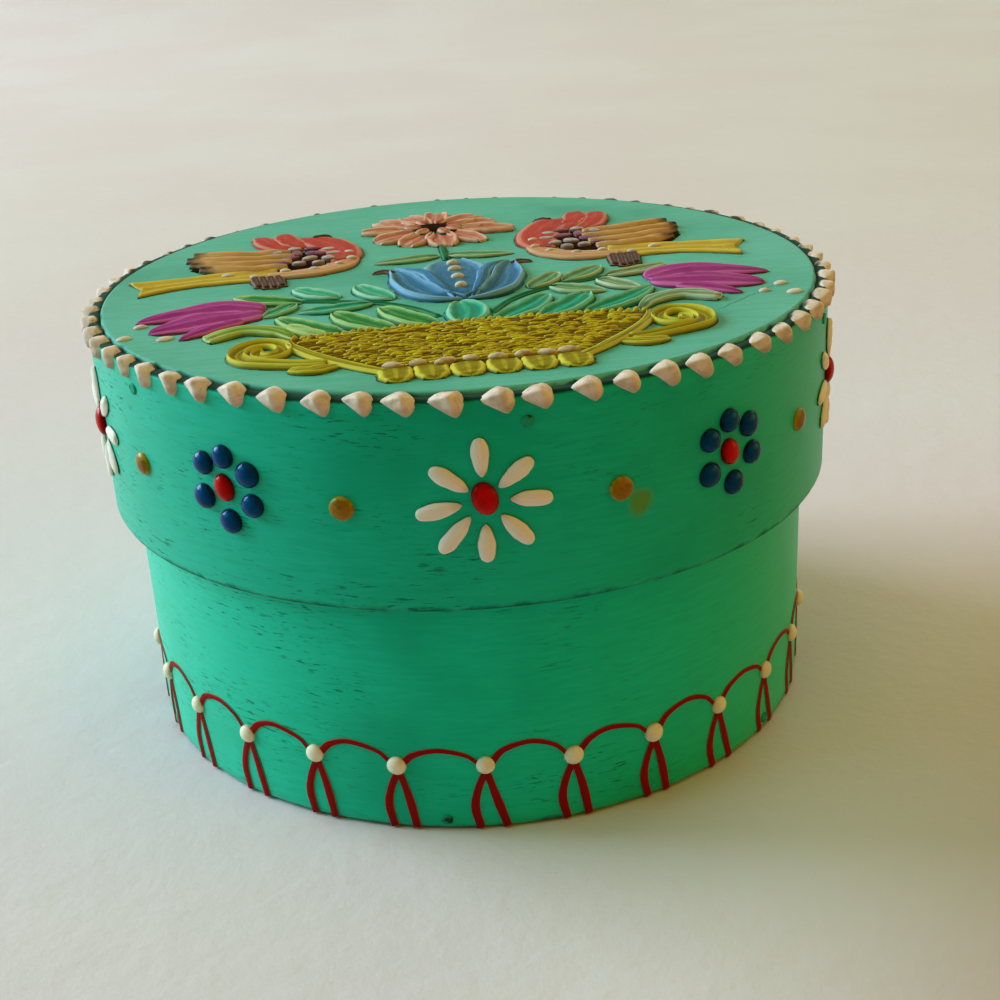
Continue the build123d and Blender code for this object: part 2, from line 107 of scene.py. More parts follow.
class Graph:
    """A shader or geometry node tree that is written as expressions."""

    def __init__(self, tree: bpy.types.NodeTree) -> None:
        """Wrap a node tree."""
        self.tree = tree

    def add(
        self,
        kind: str,
        inputs: dict[str | int, Any] | None = None,
        settings: dict[str, Any] | None = None,
    ) -> bpy.types.Node:
        """Add one node.

        Args:
            kind: the node's type name.
            inputs: values or signals for its sockets, by name or index.
            settings: properties, set before the sockets.

        Returns:
            The node.
        """
        node = self.tree.nodes.new(kind)
        for name, value in (settings or {}).items():
            setattr(node, name, value)
        for key, value in (inputs or {}).items():
            self.feed(node.inputs[key], value)
        return node

    def feed(self, socket: bpy.types.NodeSocket, value: Any) -> None:
        """Link a signal to a socket, or set the socket's own value."""
        if isinstance(value, Signal):
            self.tree.links.new(value.socket, socket)
        else:
            socket.default_value = value

    def out(
        self,
        kind: str,
        inputs: dict[str | int, Any] | None = None,
        settings: dict[str, Any] | None = None,
        output: str | int = 0,
    ) -> Signal:
        """Add one node and return one of its outputs as a signal."""
        return Signal(self, self.add(kind, inputs, settings).outputs[output])

    def math(self, operation: str, *values: Signal | float) -> Signal:
        """A Math node's result."""
        return self.out("ShaderNodeMath", dict(enumerate(values)), {"operation": operation})

    def vector(self, operation: str, *values: Any) -> Signal:
        """A Vector Math node's vector."""
        return self.out("ShaderNodeVectorMath", dict(enumerate(values)), {"operation": operation})

    def stretch(self, vector: Signal, factors: Triple) -> Signal:
        """A vector with each of its numbers multiplied."""
        return self.vector("MULTIPLY", vector, factors)

    def join(self, x: Signal | float, y: Signal | float, z: Signal | float) -> Signal:
        """A vector from three numbers."""
        return self.out("ShaderNodeCombineXYZ", {0: x, 1: y, 2: z})

    def parts(self, vector: Signal) -> tuple[Signal, Signal, Signal]:
        """The three numbers of a vector."""
        node = self.add("ShaderNodeSeparateXYZ", {0: vector})
        return tuple(Signal(self, node.outputs[index]) for index in range(3))

    def reach(self, x: Signal, y: Signal) -> Signal:
        """Distance from the upright axis."""
        return self.math("SQRT", x * x + y * y)

    def smooth(self, value: Signal, low: float, high: float) -> Signal:
        """0 below low and 1 above high, with a smooth step between; low may be the larger."""
        settings = {"interpolation_type": "SMOOTHSTEP"}
        if low <= high:
            return self.out("ShaderNodeMapRange", {0: value, 1: low, 2: high}, settings)
        return 1.0 - self.out("ShaderNodeMapRange", {0: value, 1: high, 2: low}, settings)

    def noise(self, place: Signal, scale: float, detail: float = 2.0, rough: float = 0.5) -> Signal:
        """Smooth noise about 0.5."""
        inputs = {"Vector": place, "Scale": scale, "Detail": detail, "Roughness": rough}
        return self.out("ShaderNodeTexNoise", inputs)

    def mix(self, share: Signal | float, first: Any, second: Any) -> Signal:
        """A colour between two colours."""
        node = self.add("ShaderNodeMix", {0: share}, {"data_type": "RGBA"})
        for index, colour in ((6, first), (7, second)):
            self.feed(node.inputs[index], colour if isinstance(colour, Signal) else (*colour, 1.0))
        return Signal(self, node.outputs[2])

    def coats(self, tone: Any, *layers: tuple[Signal, Any]) -> Signal:
        """A colour under layers of others, each given by its share and its colour."""
        for share, colour in layers:
            tone = self.mix(share, tone, colour)
        return tone

    def place(self) -> Signal:
        """Object coordinates, in metres."""
        return self.out("ShaderNodeTexCoord", output="Object")

    def chart(self) -> tuple[Signal, Signal, Signal]:
        """The numbers of the mesh's own map."""
        return self.parts(self.out("ShaderNodeUVMap", settings={"uv_map": "UVMap"}))

    def look(
        self, colour: Signal, roughness: Signal, height: Signal, strength: float, depth: float
    ) -> dict[str, Signal]:
        """What every finish feeds.

        Args:
            colour: the base colour.
            roughness: the roughness.
            height: what bends the normal.
            strength: how strongly it does so.
            depth: how deep the relief is, in millimetres.

        Returns:
            Signals by the names of the shader's sockets.
        """
        inputs = {"Height": height, "Strength": strength, "Distance": depth * MM}
        normal = self.out("ShaderNodeBump", inputs)
        return {"Base Color": colour, "Roughness": roughness, "Normal": normal}


@dataclass(frozen=True)
class Gloss:
    """How a surface shines: values that are the same all over it."""

    specular: float = 0.5
    tint: Colour = (1.0, 1.0, 1.0)
    sheen: float = 0.0


class Finish:
    """A procedural material; a subclass writes the signals that feed its shader."""

    name: str
    slot: str
    gloss: Gloss

    def paint(self, graph: Graph) -> dict[str, Any]:
        """What feeds the shader's sockets."""
        raise NotImplementedError

    def material(self) -> bpy.types.Material:
        """The finish as a material, made once for each name."""
        name = f"{self.name}_finish"
        known = bpy.data.materials.get(name)
        if known:
            return known
        material = bpy.data.materials.new(name)
        material.use_nodes = True
        graph = Graph(material.node_tree)
        shader = material.node_tree.nodes["Principled BSDF"]
        shader.inputs["Specular IOR Level"].default_value = self.gloss.specular
        shader.inputs["Specular Tint"].default_value = (*self.gloss.tint, 1.0)
        shader.inputs["Sheen Weight"].default_value = self.gloss.sheen
        for socket, value in self.paint(graph).items():
            graph.feed(shader.inputs[socket], value)
        return material


def bare_wood(graph: Graph, place: Signal, across: Triple) -> Signal:
    """Colour of sanded wood whose grain runs at a right angle to the given stretch."""
    fibre = graph.noise(graph.stretch(place, across), scale=900.0, detail=4.0, rough=0.6)
    cloud = graph.noise(place, scale=60.0)
    light, dark = (0.60, 0.42, 0.24), (0.36, 0.22, 0.11)
    return graph.mix(graph.smooth(fibre * 0.7 + cloud * 0.3, 0.36, 0.66), light, dark)


@dataclass(frozen=True)
class StripPaint(Finish):
    """Turquoise paint on a bent strip; bare wood inside and, without an edge colour, on top."""

    name: str
    outside: float
    thickness: float
    bottom: float
    top: float
    edge: Colour | None = None
    smear: tuple[float, float] | None = None
    base: Colour = (0.006, 0.44, 0.25)
    light: Colour = (0.01, 0.5, 0.3)
    deep: Colour = (0.003, 0.3, 0.15)
    pore: Colour = (0.002, 0.09, 0.045)
    dirt_and_shade: Colour = (0.001, 0.055, 0.025)
    ochre: Colour = (0.115, 0.26, 0.004)
    scarf: float = radians(154.0)
    slot: str = "turquoise_paint"
    gloss: Gloss = Gloss(specular=0.45, tint=(0.03, 0.35, 0.3), sheen=0.03)

    def paint(self, graph: Graph) -> dict[str, Any]:
        """Even paint, fine dark flecks along the grain, more of them to the left, a painted shadow
        along the bottom edge, on the lid a top edge painted near black, and a line at the joint.
        """
        place = graph.place()
        x, y, z = graph.parts(place)
        skin = (self.outside - 0.75 * self.thickness, self.outside - 0.45 * self.thickness)
        outer = graph.smooth(graph.reach(x, y), *skin)
        if self.edge:
            upper = graph.smooth(z, self.top - 0.5 * MM, self.top - 0.2 * MM)
            outer = graph.math("MAXIMUM", outer, upper)
        lengthwise = graph.stretch(place, (1.0, 1.0, 8.0))
        brushed = graph.noise(lengthwise, scale=210.0, detail=4.0, rough=0.6)
        clouds = graph.noise(place, scale=42.0, detail=3.0)
        streak = graph.noise(lengthwise, scale=480.0, detail=3.0, rough=0.55)
        # Patches where the flecks gather; on the strips they also grow denser towards -X, the left,
        # where raking light shows them: painted light.
        fleck_patches = graph.noise(graph.stretch(place, (1.0, 1.0, 2.0)), scale=60.0) - x * 3.0
        flecks = graph.smooth(streak, 0.58, 0.67) * (0.10 + 0.90 * graph.smooth(fleck_patches, 0.46, 0.70))
        lighter = graph.smooth(brushed * 0.5 + clouds * 0.5, 0.40, 0.64)
        ragged = graph.noise(place, scale=420.0, detail=3.0) * 1.8 * MM
        # Darker along the strip's bottom edge: a painted shadow line under the lid's edge and at
        # the box's foot.
        dull = low = graph.smooth(z + ragged, self.bottom + 1.75 * MM, self.bottom + 0.85 * MM)
        tone = graph.coats(
            self.base, (lighter, self.light), (graph.smooth(clouds, 0.47, 0.30) * 0.35, self.deep),
            (flecks * 0.75, self.pore), (low * 0.88, self.dirt_and_shade),
        )
        # On the lid the top edge is painted near black: partly its dark end grain, partly painted
        # shade in the gap under the beads.
        if self.edge:
            high = graph.smooth(z + ragged * 0.3, self.top - 0.25 * MM, self.top + 0.1 * MM)
            tone = graph.mix(high, tone, self.edge)
            dull = graph.math("MAXIMUM", low, high)
        if self.smear:
            tone = graph.mix(self.spot(graph, place) * 0.85, tone, self.ochre)
        joint = self.joint(graph, x, y)
        tone = graph.mix(joint * 0.8, tone, self.pore)
        colour = graph.mix(outer, bare_wood(graph, place, GRAIN_ROUND), tone)
        roughness = 0.34 + brushed * 0.14 + flecks * 0.3 + (1.0 - outer) * 0.2 + dull * 0.5
        height = brushed * 0.35 + streak * 0.4 - flecks * 0.8 - joint * 1.5
        return graph.look(colour, roughness, height, strength=0.4, depth=0.12)

    def spot(self, graph: Graph, place: Signal) -> Signal:
        """A small smear of ochre over the green, given by its angle and height."""
        angle, height = self.smear
        x, y, z = graph.parts(place)
        dx = x - self.outside * sin(angle)
        dy = y + self.outside * cos(angle)
        dz = z - height
        reach = graph.math("SQRT", dx * dx + dy * dy + dz * dz)
        ragged = graph.noise(place, scale=500.0, detail=3.0) * 1.6 * MM
        return graph.smooth(reach + ragged, 3.0 * MM, 1.7 * MM)

    def joint(self, graph: Graph, x: Signal, y: Signal) -> Signal:
        """A fine upright line where the strip's end is glued over its start."""
        c, s = cos(self.scarf), sin(self.scarf)
        line = graph.smooth(abs(x * c + y * s), 0.16 * MM, 0.05 * MM)
        return line * graph.smooth(x * s + y * -c, 0.0, 1.0 * MM)


@dataclass(frozen=True)
class PanelPaint(Finish):
    """Turquoise paint on the lid's disc, with grain from left to right; bare wood below."""

    name: str = "panel_paint"
    slot: str = "turquoise_paint"
    # The disc is the same turquoise paint as the strips, but its colour is set paler and milkier
    # and its gloss low: a painted reflection of the pale room on the top.
    base: Colour = (0.088, 0.375, 0.245)
    light: Colour = (0.118, 0.43, 0.3)
    deep: Colour = (0.02, 0.21, 0.12)
    edge_stain_and_shade: Colour = (0.006, 0.05, 0.022)
    split: Colour = (0.008, 0.08, 0.045)
    gloss: Gloss = Gloss(specular=0.05)
    crack: tuple[Point, Point] = ((40.5, -16.5), (29.0, -27.0))

    def paint(self, graph: Graph) -> dict[str, Any]:
        """Even paint, short dark flecks, an edge darkened by a thin stain and by painted shade
        behind each bead, a fine crack and a bare underside.
        """
        place = graph.place()
        x, y, z = graph.parts(place)
        sideways = graph.stretch(place, (1.0, 7.0, 1.0))
        brushed = graph.noise(sideways, scale=200.0, detail=4.0, rough=0.6)
        clouds = graph.noise(place, scale=48.0, detail=3.0)
        streak = graph.noise(sideways, scale=520.0)
        fleck_patches = graph.smooth(graph.noise(place, scale=65.0), 0.44, 0.66)
        flecks = graph.smooth(streak, 0.65, 0.71) * (0.12 + 0.88 * fleck_patches)
        lighter = graph.smooth(brushed * 0.5 + clouds * 0.5, 0.40, 0.62)
        # Darker round the disc's edge, with a scallop behind each bead: a thin stain and painted
        # shade of the beads.
        turn = graph.math("ARCTAN2", x, y * -1.0) * float(BEAD_COUNT)
        behind = graph.math("COSINE", turn) * 0.15 * MM
        ragged = graph.noise(place, scale=300.0, detail=3.0) * 1.2 * MM + behind
        edge = (PANEL_RADIUS + 0.40 * MM, PANEL_RADIUS + 0.85 * MM)
        rim = graph.smooth(graph.reach(x, y) + ragged, *edge)
        crack = self.line(graph, x, y)
        tone = graph.coats(
            self.base, (lighter, self.light), (graph.smooth(clouds, 0.47, 0.30) * 0.3, self.deep),
            (flecks * 0.65, self.deep), (rim * 0.92, self.edge_stain_and_shade), (crack * 0.6, self.split),
        )
        painted = graph.smooth(z, PANEL_TOP - 1.6 * MM, PANEL_TOP - 1.2 * MM)
        colour = graph.mix(painted, bare_wood(graph, place, GRAIN_SIDEWAYS), tone)
        height = brushed * 0.35 + streak * 0.3 - flecks * 0.6 - crack * 1.5
        roughness = 0.40 + brushed * 0.14 + rim * 0.4
        return graph.look(colour, roughness, height, strength=0.3, depth=0.10)

    def line(self, graph: Graph, x: Signal, y: Signal) -> Signal:
        """The crack: a thin wavering line between two points."""
        (x0, y0), (x1, y1) = self.crack
        length = sqrt((x1 - x0) ** 2 + (y1 - y0) ** 2)
        ux, uy = (x1 - x0) / length, (y1 - y0) / length
        dx = x - x0 * MM
        dy = y - y0 * MM
        along = dx * ux + dy * uy
        waver = (graph.noise(graph.join(along, 0.0, 0.0), scale=500.0) - 0.5) * 0.9 * MM
        offset = abs(dx * -uy + dy * ux + waver)
        start = graph.smooth(along, 0.0, 2.5 * MM)
        end = graph.smooth(along, length * MM, (length - 4.0) * MM)
        return graph.smooth(offset, 0.16 * MM, 0.04 * MM) * (start * end)


@dataclass(frozen=True)
class WoodFinish(Finish):
    """Bare sanded wood with its grain from left to right."""

    name: str = "base_wood"
    gloss: Gloss = Gloss(specular=0.3)

    def paint(self, graph: Graph) -> dict[str, Any]:
        """Grain and a slightly rough surface."""
        place = graph.place()
        fibre = graph.noise(graph.stretch(place, GRAIN_SIDEWAYS), scale=500.0, detail=4.0)
        wood = bare_wood(graph, place, GRAIN_SIDEWAYS)
        return graph.look(wood, 0.55 + fibre * 0.2, fibre, strength=0.3, depth=0.1)


@dataclass(frozen=True)
class BradFinish(Finish):
    """Small nail heads under the paint, rusted dark."""

    name: str = "brad_steel"
    slot: str = "brad_steel"
    steel: Colour = (0.004, 0.05, 0.024)
    rust: Colour = (0.012, 0.03, 0.014)
    green: Colour = (0.004, 0.3, 0.16)
    gloss: Gloss = Gloss(specular=0.2)

    def paint(self, graph: Graph) -> dict[str, Any]:
        """Patches of green paint on dark rust."""
        place = graph.place()
        rust = graph.smooth(graph.noise(place, scale=1400.0, detail=4.0), 0.42, 0.58)
        paint = graph.smooth(graph.noise(place, scale=800.0), 0.40, 0.52)
        colour = graph.coats(self.steel, (rust, self.rust), (paint, self.green))
        pits = graph.noise(place, scale=2500.0)
        look = graph.look(colour, 0.5 + rust * 0.3, pits, strength=0.5, depth=0.08)
        return look | {"Metallic": (1.0 - paint) * (1.0 - rust) * 0.2}


@dataclass(frozen=True)
class DropPaint(Finish):
    """Thick paint in a drop: one colour that turns to a rim colour towards its foot, with clouds
    and specks of dirt.
    """

    name: str
    slot: str
    base: Colour
    rim: Colour
    dirt_and_shade: Colour
    dirt_share: float = 0.3
    rim_start: float = 0.75
    roughness: float = 0.35
    inner: float = 0.0
    glaze_and_shade: Colour = (0.02, 0.03, 0.014)
    gloss: Gloss = Gloss(specular=0.10)

    def paint(self, graph: Graph) -> dict[str, Any]:
        """Colour by the place on the drop, read from its own map, with fine dirt.

        Where an inner radius is given, the side that faces the lid's middle is painted dark, more
        so towards the back: painted shade on the beads.
        """
        place = graph.place()
        _, fall, _ = graph.chart()
        cloud = graph.noise(place, scale=700.0, detail=3.0)
        specks = graph.smooth(graph.noise(place, scale=1300.0, detail=4.0, rough=0.6), 0.56, 0.68)
        # Towards its foot the drop turns to its rim colour: on most paints darker, painted shade on
        # the drop's sides; on the ochre lighter, the thin edge of its varnish.
        outer = graph.smooth(fall + cloud * 0.2, self.rim_start + 0.1, 1.05)
        murk = graph.smooth(cloud, 0.44, 0.66)
        tone = graph.coats(
            self.base, (outer, self.rim), (murk * self.dirt_share, self.dirt_and_shade),
            (specks * self.dirt_share, self.dirt_and_shade),
        )
        if self.inner:
            x, y, _ = graph.parts(place)
            ragged = (graph.noise(place, scale=480.0, detail=3.0) - 0.5) * 2.6 * MM
            radius = graph.reach(x, y) + ragged - graph.math("MAXIMUM", y, 0.0) * 0.03
            glaze_and_shade = graph.smooth(radius, self.inner + 0.35 * MM, self.inner - 0.35 * MM)
            tone = graph.mix(glaze_and_shade * 0.95, tone, self.glaze_and_shade)
        height = graph.noise(place, scale=900.0, detail=3.0)
        return graph.look(tone, self.roughness + cloud * 0.12, height, strength=0.3, depth=0.15)


@dataclass(frozen=True)
class ReliefPaint(Finish):
    """Glazed paint on a raised stroke: u runs along it and v across it."""

    name: str
    slot: str
    root: Colour
    base: Colour
    tip: Colour
    rim: Colour
    hollow: Colour
    root_end: float = 0.35
    tip_start: float = 0.75
    rim_share: float = 0.85
    hollow_share: float = 0.6
    streaks: float = 0.5
    flank: Colour | None = None
    glaze_and_shade: Colour = (0.01, 0.045, 0.018)
    thin_glaze_and_shade: Colour = (0.03, 0.21, 0.115)
    roughness: float = 0.42
    gloss: Gloss = Gloss(specular=0.03)

    def paint(self, graph: Graph) -> dict[str, Any]:
        """Colours along and across the stroke: hollow, ridge, a darker flank, and at its foot a
        dark line, partly glaze and partly painted shadow.
        """
        along, across, _ = graph.chart()
        wander = graph.noise(graph.place(), scale=520.0, detail=3.0) - 0.5
        side = abs(across * 2.0 - 1.0)
        ragged = along + wander * 0.3
        hairs = graph.join(along * 2.5, across * 12.0, wander * 2.0)
        brush = graph.noise(hairs, scale=2.2, detail=3.0, rough=0.6)
        valley = graph.smooth(side + wander * 0.2, 0.60, 0.42) * graph.smooth(side, 0.06, 0.16)
        ridge = graph.smooth(side + wander * 0.1, 0.55, 0.66) * graph.smooth(side, 0.84, 0.78)
        flank = self.flank or tuple(part * 0.4 for part in self.hollow)
        glaze_and_shade = graph.mix(graph.smooth(wander, -0.02, 0.10), self.glaze_and_shade, self.thin_glaze_and_shade)
        tone = graph.coats(
            self.root,
            (graph.smooth(ragged, 0.0, self.root_end), self.base),
            (graph.smooth(ragged, self.tip_start, 1.0), self.tip),
            (graph.smooth(brush, 0.46, 0.72) * self.streaks, self.hollow),
            (graph.smooth(brush, 0.46, 0.28) * self.streaks * 0.6, self.rim),
            (valley * self.hollow_share, self.hollow), (ridge * self.rim_share, self.rim),
            # Flank and foot darkened into a dark line round the stroke: partly glaze, partly
            # painted shadow that the stroke casts on the ground.
            (graph.smooth(side, 0.79, 0.86) * 0.7, flank),
            (graph.smooth(side, 0.865, 0.885), glaze_and_shade),
        )
        height = brush * 0.6 + wander * 0.5
        return graph.look(tone, self.roughness + brush * 0.12, height, strength=0.4, depth=0.12)


@dataclass(frozen=True)
class BasketPaint(Finish):
    """Brown glaze over olive yellow, in fine coils from side to side."""

    coils: int
    name: str = "basket_paint"
    slot: str = "basket_paint"
    high: Colour = (0.33, 0.23, 0.004)
    low: Colour = (0.11, 0.06, 0.001)
    gloss: Gloss = Gloss(specular=0.03)

    def paint(self, graph: Graph) -> dict[str, Any]:
        """Yellow on the crests of the coils, brown between them, broken up by noise."""
        down, _, _ = graph.chart()
        sideways = graph.stretch(graph.place(), (1.0, 4.0, 1.0))
        wander = graph.noise(sideways, scale=420.0, detail=4.0, rough=0.6) - 0.5
        coil = graph.math("COSINE", (down * float(self.coils) + wander * 0.8) * (2 * pi))
        tone = graph.mix(graph.smooth(coil * 0.5 + wander * 3.0, 0.05, 0.75), self.low, self.high)
        roughness = 0.42 + (wander + 0.5) * 0.14
        return graph.look(tone, roughness, coil * 0.3 + wander, strength=0.4, depth=0.15)


@dataclass(frozen=True)
class StageFinish(Finish):
    """Pale painted floor that runs up into a warm backdrop."""

    name: str = "stage"
    near: Colour = (0.7, 0.63, 0.63)
    far: Colour = (0.65, 0.56, 0.5)
    mottled: Colour = (0.7, 0.68, 0.6)
    right: Colour = (0.52, 0.46, 0.33)
    corner_shade: Colour = (0.52, 0.36, 0.25)
    gloss: Gloss = Gloss(specular=0.2)

    def paint(self, graph: Graph) -> dict[str, Any]:
        """Cool and pale near the camera, warmer behind, and darker and browner to the right and in
        the front-right corner: painted shade.
        """
        place = graph.place()
        x, y, z = graph.parts(place)
        mottle = graph.noise(place, scale=9.0, detail=4.0)
        grain = graph.noise(place, scale=160.0, detail=4.0, rough=0.6)
        behind = graph.smooth(y + z * 0.6 + (mottle - 0.5) * 0.08, -0.08, 0.30)
        # Darker and browner towards the right and in the front-right corner: painted shade on the
        # floor.
        corner_shade = graph.smooth(x * 0.8 - y * 0.6, 0.055, 0.110)
        tone = graph.coats(
            self.near, (behind, self.far),
            (graph.smooth(mottle, 0.40, 0.62) * 0.25, self.mottled),
            (graph.smooth(x, 0.02, 0.30) * 0.22, self.right), (corner_shade * 0.8, self.corner_shade),
        )
        return graph.look(tone, 0.72 + grain * 0.1, grain, strength=0.22, depth=1.0)


@dataclass
class Shell:
    """Points, faces and map of a mesh in the making."""

    points: np.ndarray
    faces: Faces
    chart: np.ndarray

    @staticmethod
    def joined(shells: list["Shell"]) -> "Shell":
        """One shell that holds several."""
        faces: Faces = []
        start = 0
        for shell in shells:
            faces += [tuple(index + start for index in face) for face in shell.faces]
            start += len(shell.points)
        points = np.concatenate([shell.points for shell in shells])
        return Shell(points, faces, np.concatenate([shell.chart for shell in shells]))

    def mesh(self, name: str) -> bpy.types.Mesh:
        """The shell as a smooth-shaded mesh with its map."""
        mesh = bpy.data.meshes.new(name)
        mesh.from_pydata(self.points.tolist(), [], self.faces)
        layer = mesh.uv_layers.new(name="UVMap")
        corners = np.empty(len(mesh.loops), dtype=np.int64)
        mesh.loops.foreach_get("vertex_index", corners)
        layer.data.foreach_set("uv", self.chart[corners].astype(np.float32).ravel())
        mesh.polygons.foreach_set("use_smooth", np.ones(len(mesh.polygons), dtype=bool))
        mesh.update()
        return mesh


@dataclass(frozen=True)
class LidTop:
    """The lid's disc as a place to lay strokes on, in the picture's own axes."""

    shift: float = -1.1 * MM
    lean: float = radians(1.4)

    def place(self, x: np.ndarray, y: np.ndarray, rise: np.ndarray) -> np.ndarray:
        """Points in the row's frame from places and heights in metres."""
        across = x * cos(self.lean) - y * sin(self.lean) + self.shift
        back = x * sin(self.lean) + y * cos(self.lean)
        return np.stack([across, back, rise + PANEL_TOP], -1)

    def spot(self, x: float, y: float) -> tuple[float, ...]:
        """One point of the disc, from millimetres."""
        return tuple(self.place(np.array(x * MM), np.array(y * MM), np.array(0.0)))


@dataclass(frozen=True)
class Wall:
    """A round wall's front as a place to lay strokes on: x round it, y up it."""

    radius: float

    def place(self, x: np.ndarray, y: np.ndarray, rise: np.ndarray) -> np.ndarray:
        """Points about the wall's own front point, with -Y outwards."""
        angle = x / self.radius
        reach = self.radius + rise
        return np.stack([reach * np.sin(angle), self.radius - reach * np.cos(angle), y], -1)


@dataclass(frozen=True)
class Flat:
    """A level place about the origin."""

    def place(self, x: np.ndarray, y: np.ndarray, rise: np.ndarray) -> np.ndarray:
        """Points at the given places and heights."""
        return np.stack([x, y, rise], -1)


Ground = LidTop | Wall | Flat


def smooth_path(points: list[Point], count: int) -> np.ndarray:
    """Evenly stepped points on a smooth curve through the given ones.

    Args:
        points: two or more points to pass through.
        count: how many points to return.

    Returns:
        An array of count by 2.
    """
    given = np.array(points, dtype=float)
    padded = np.vstack([2 * given[0] - given[1], given, 2 * given[-1] - given[-2]])
    where = np.linspace(0, len(given) - 1, count)
    part = np.minimum(where.astype(int), len(given) - 2)
    t = (where - part)[:, None]
    a, b, c, d = (padded[part + shift] for shift in range(4))
    bend = 2 * a - 5 * b + 4 * c - d
    twist = -a + 3 * b - 3 * c + d
    return 0.5 * (2 * b + (c - a) * t + bend * t ** 2 + twist * t ** 3)


def uneven(random: np.random.Generator, u: np.ndarray, t: np.ndarray, size: float) -> np.ndarray:
    """A smooth irregular wave over u and t, of about the given size."""
    total = 0.0
    for scale in (1.0, 0.6, 0.4):
        along, across = random.uniform(6, 16) / scale, random.uniform(1, 3) / scale
        total = total + scale * np.sin(along * u + across * t + random.uniform(0, 2 * pi))
    return total * size * 0.6


def slab(top: np.ndarray, bottom: np.ndarray, chart: np.ndarray) -> Shell:
    """A closed shell between two grids of points with the same rows and columns.

    Args:
        top: upper points, rows by columns by 3.
        bottom: lower points, in the same order.
        chart: one map for both, rows by columns by 2.

    Returns:
        The shell.
    """
    rows, columns = top.shape[:2]
    size = rows * columns
    at = np.arange(size).reshape(rows, columns)
    quads = np.stack([at[:-1, :-1], at[1:, :-1], at[1:, 1:], at[:-1, 1:]], -1).reshape(-1, 4)
    layers = np.stack([quads, quads[:, ::-1] + size], 1).reshape(-1, 4)
    border = np.concatenate([at[:, 0], at[-1, 1:], at[-2::-1, -1], at[0, -2:0:-1]])
    after = np.roll(border, -1)
    sides = np.stack([border, border + size, after + size, after], -1)
    faces = [tuple(face) for face in np.concatenate([layers, sides]).tolist()]
    points = np.concatenate([top.reshape(-1, 3), bottom.reshape(-1, 3)])
    return Shell(points, faces, np.concatenate([chart.reshape(-1, 2)] * 2))


def dome_faces(first: int, layers: int, around: int, crown: int, pit: int) -> Faces:
    """Faces of a closed dome.

    Args:
        first: index of the first point of the uppermost layer.
        layers: how many layers of points there are.
        around: how many points each of them has, counterclockwise.
        crown: index of the point above them.
        pit: index of the point below them.

    Returns:
        Triangles at the crown and the pit, and quads between.
    """
    faces: Faces = []
    last = (layers - 1) * around
    for step in range(first, first + around):
        after = step + 1 if step + 1 < first + around else first
        faces.append((crown, step, after))
        for low in range(around, layers * around, around):
            high = low - around
            faces.append((step + high, step + low, after + low, after + high))
        faces.append((pit, after + last, step + last))
    return faces


FLANK, RIDGE_PLACE, RIDGE_WIDTH, RIB_WIDTH, DOME_POWER = 0.10, 0.79, 0.12, 0.12, 0.55
LIP_HEIGHT, LEAST_SKIRT, MAP_HALF = 0.08, 0.03, 0.435


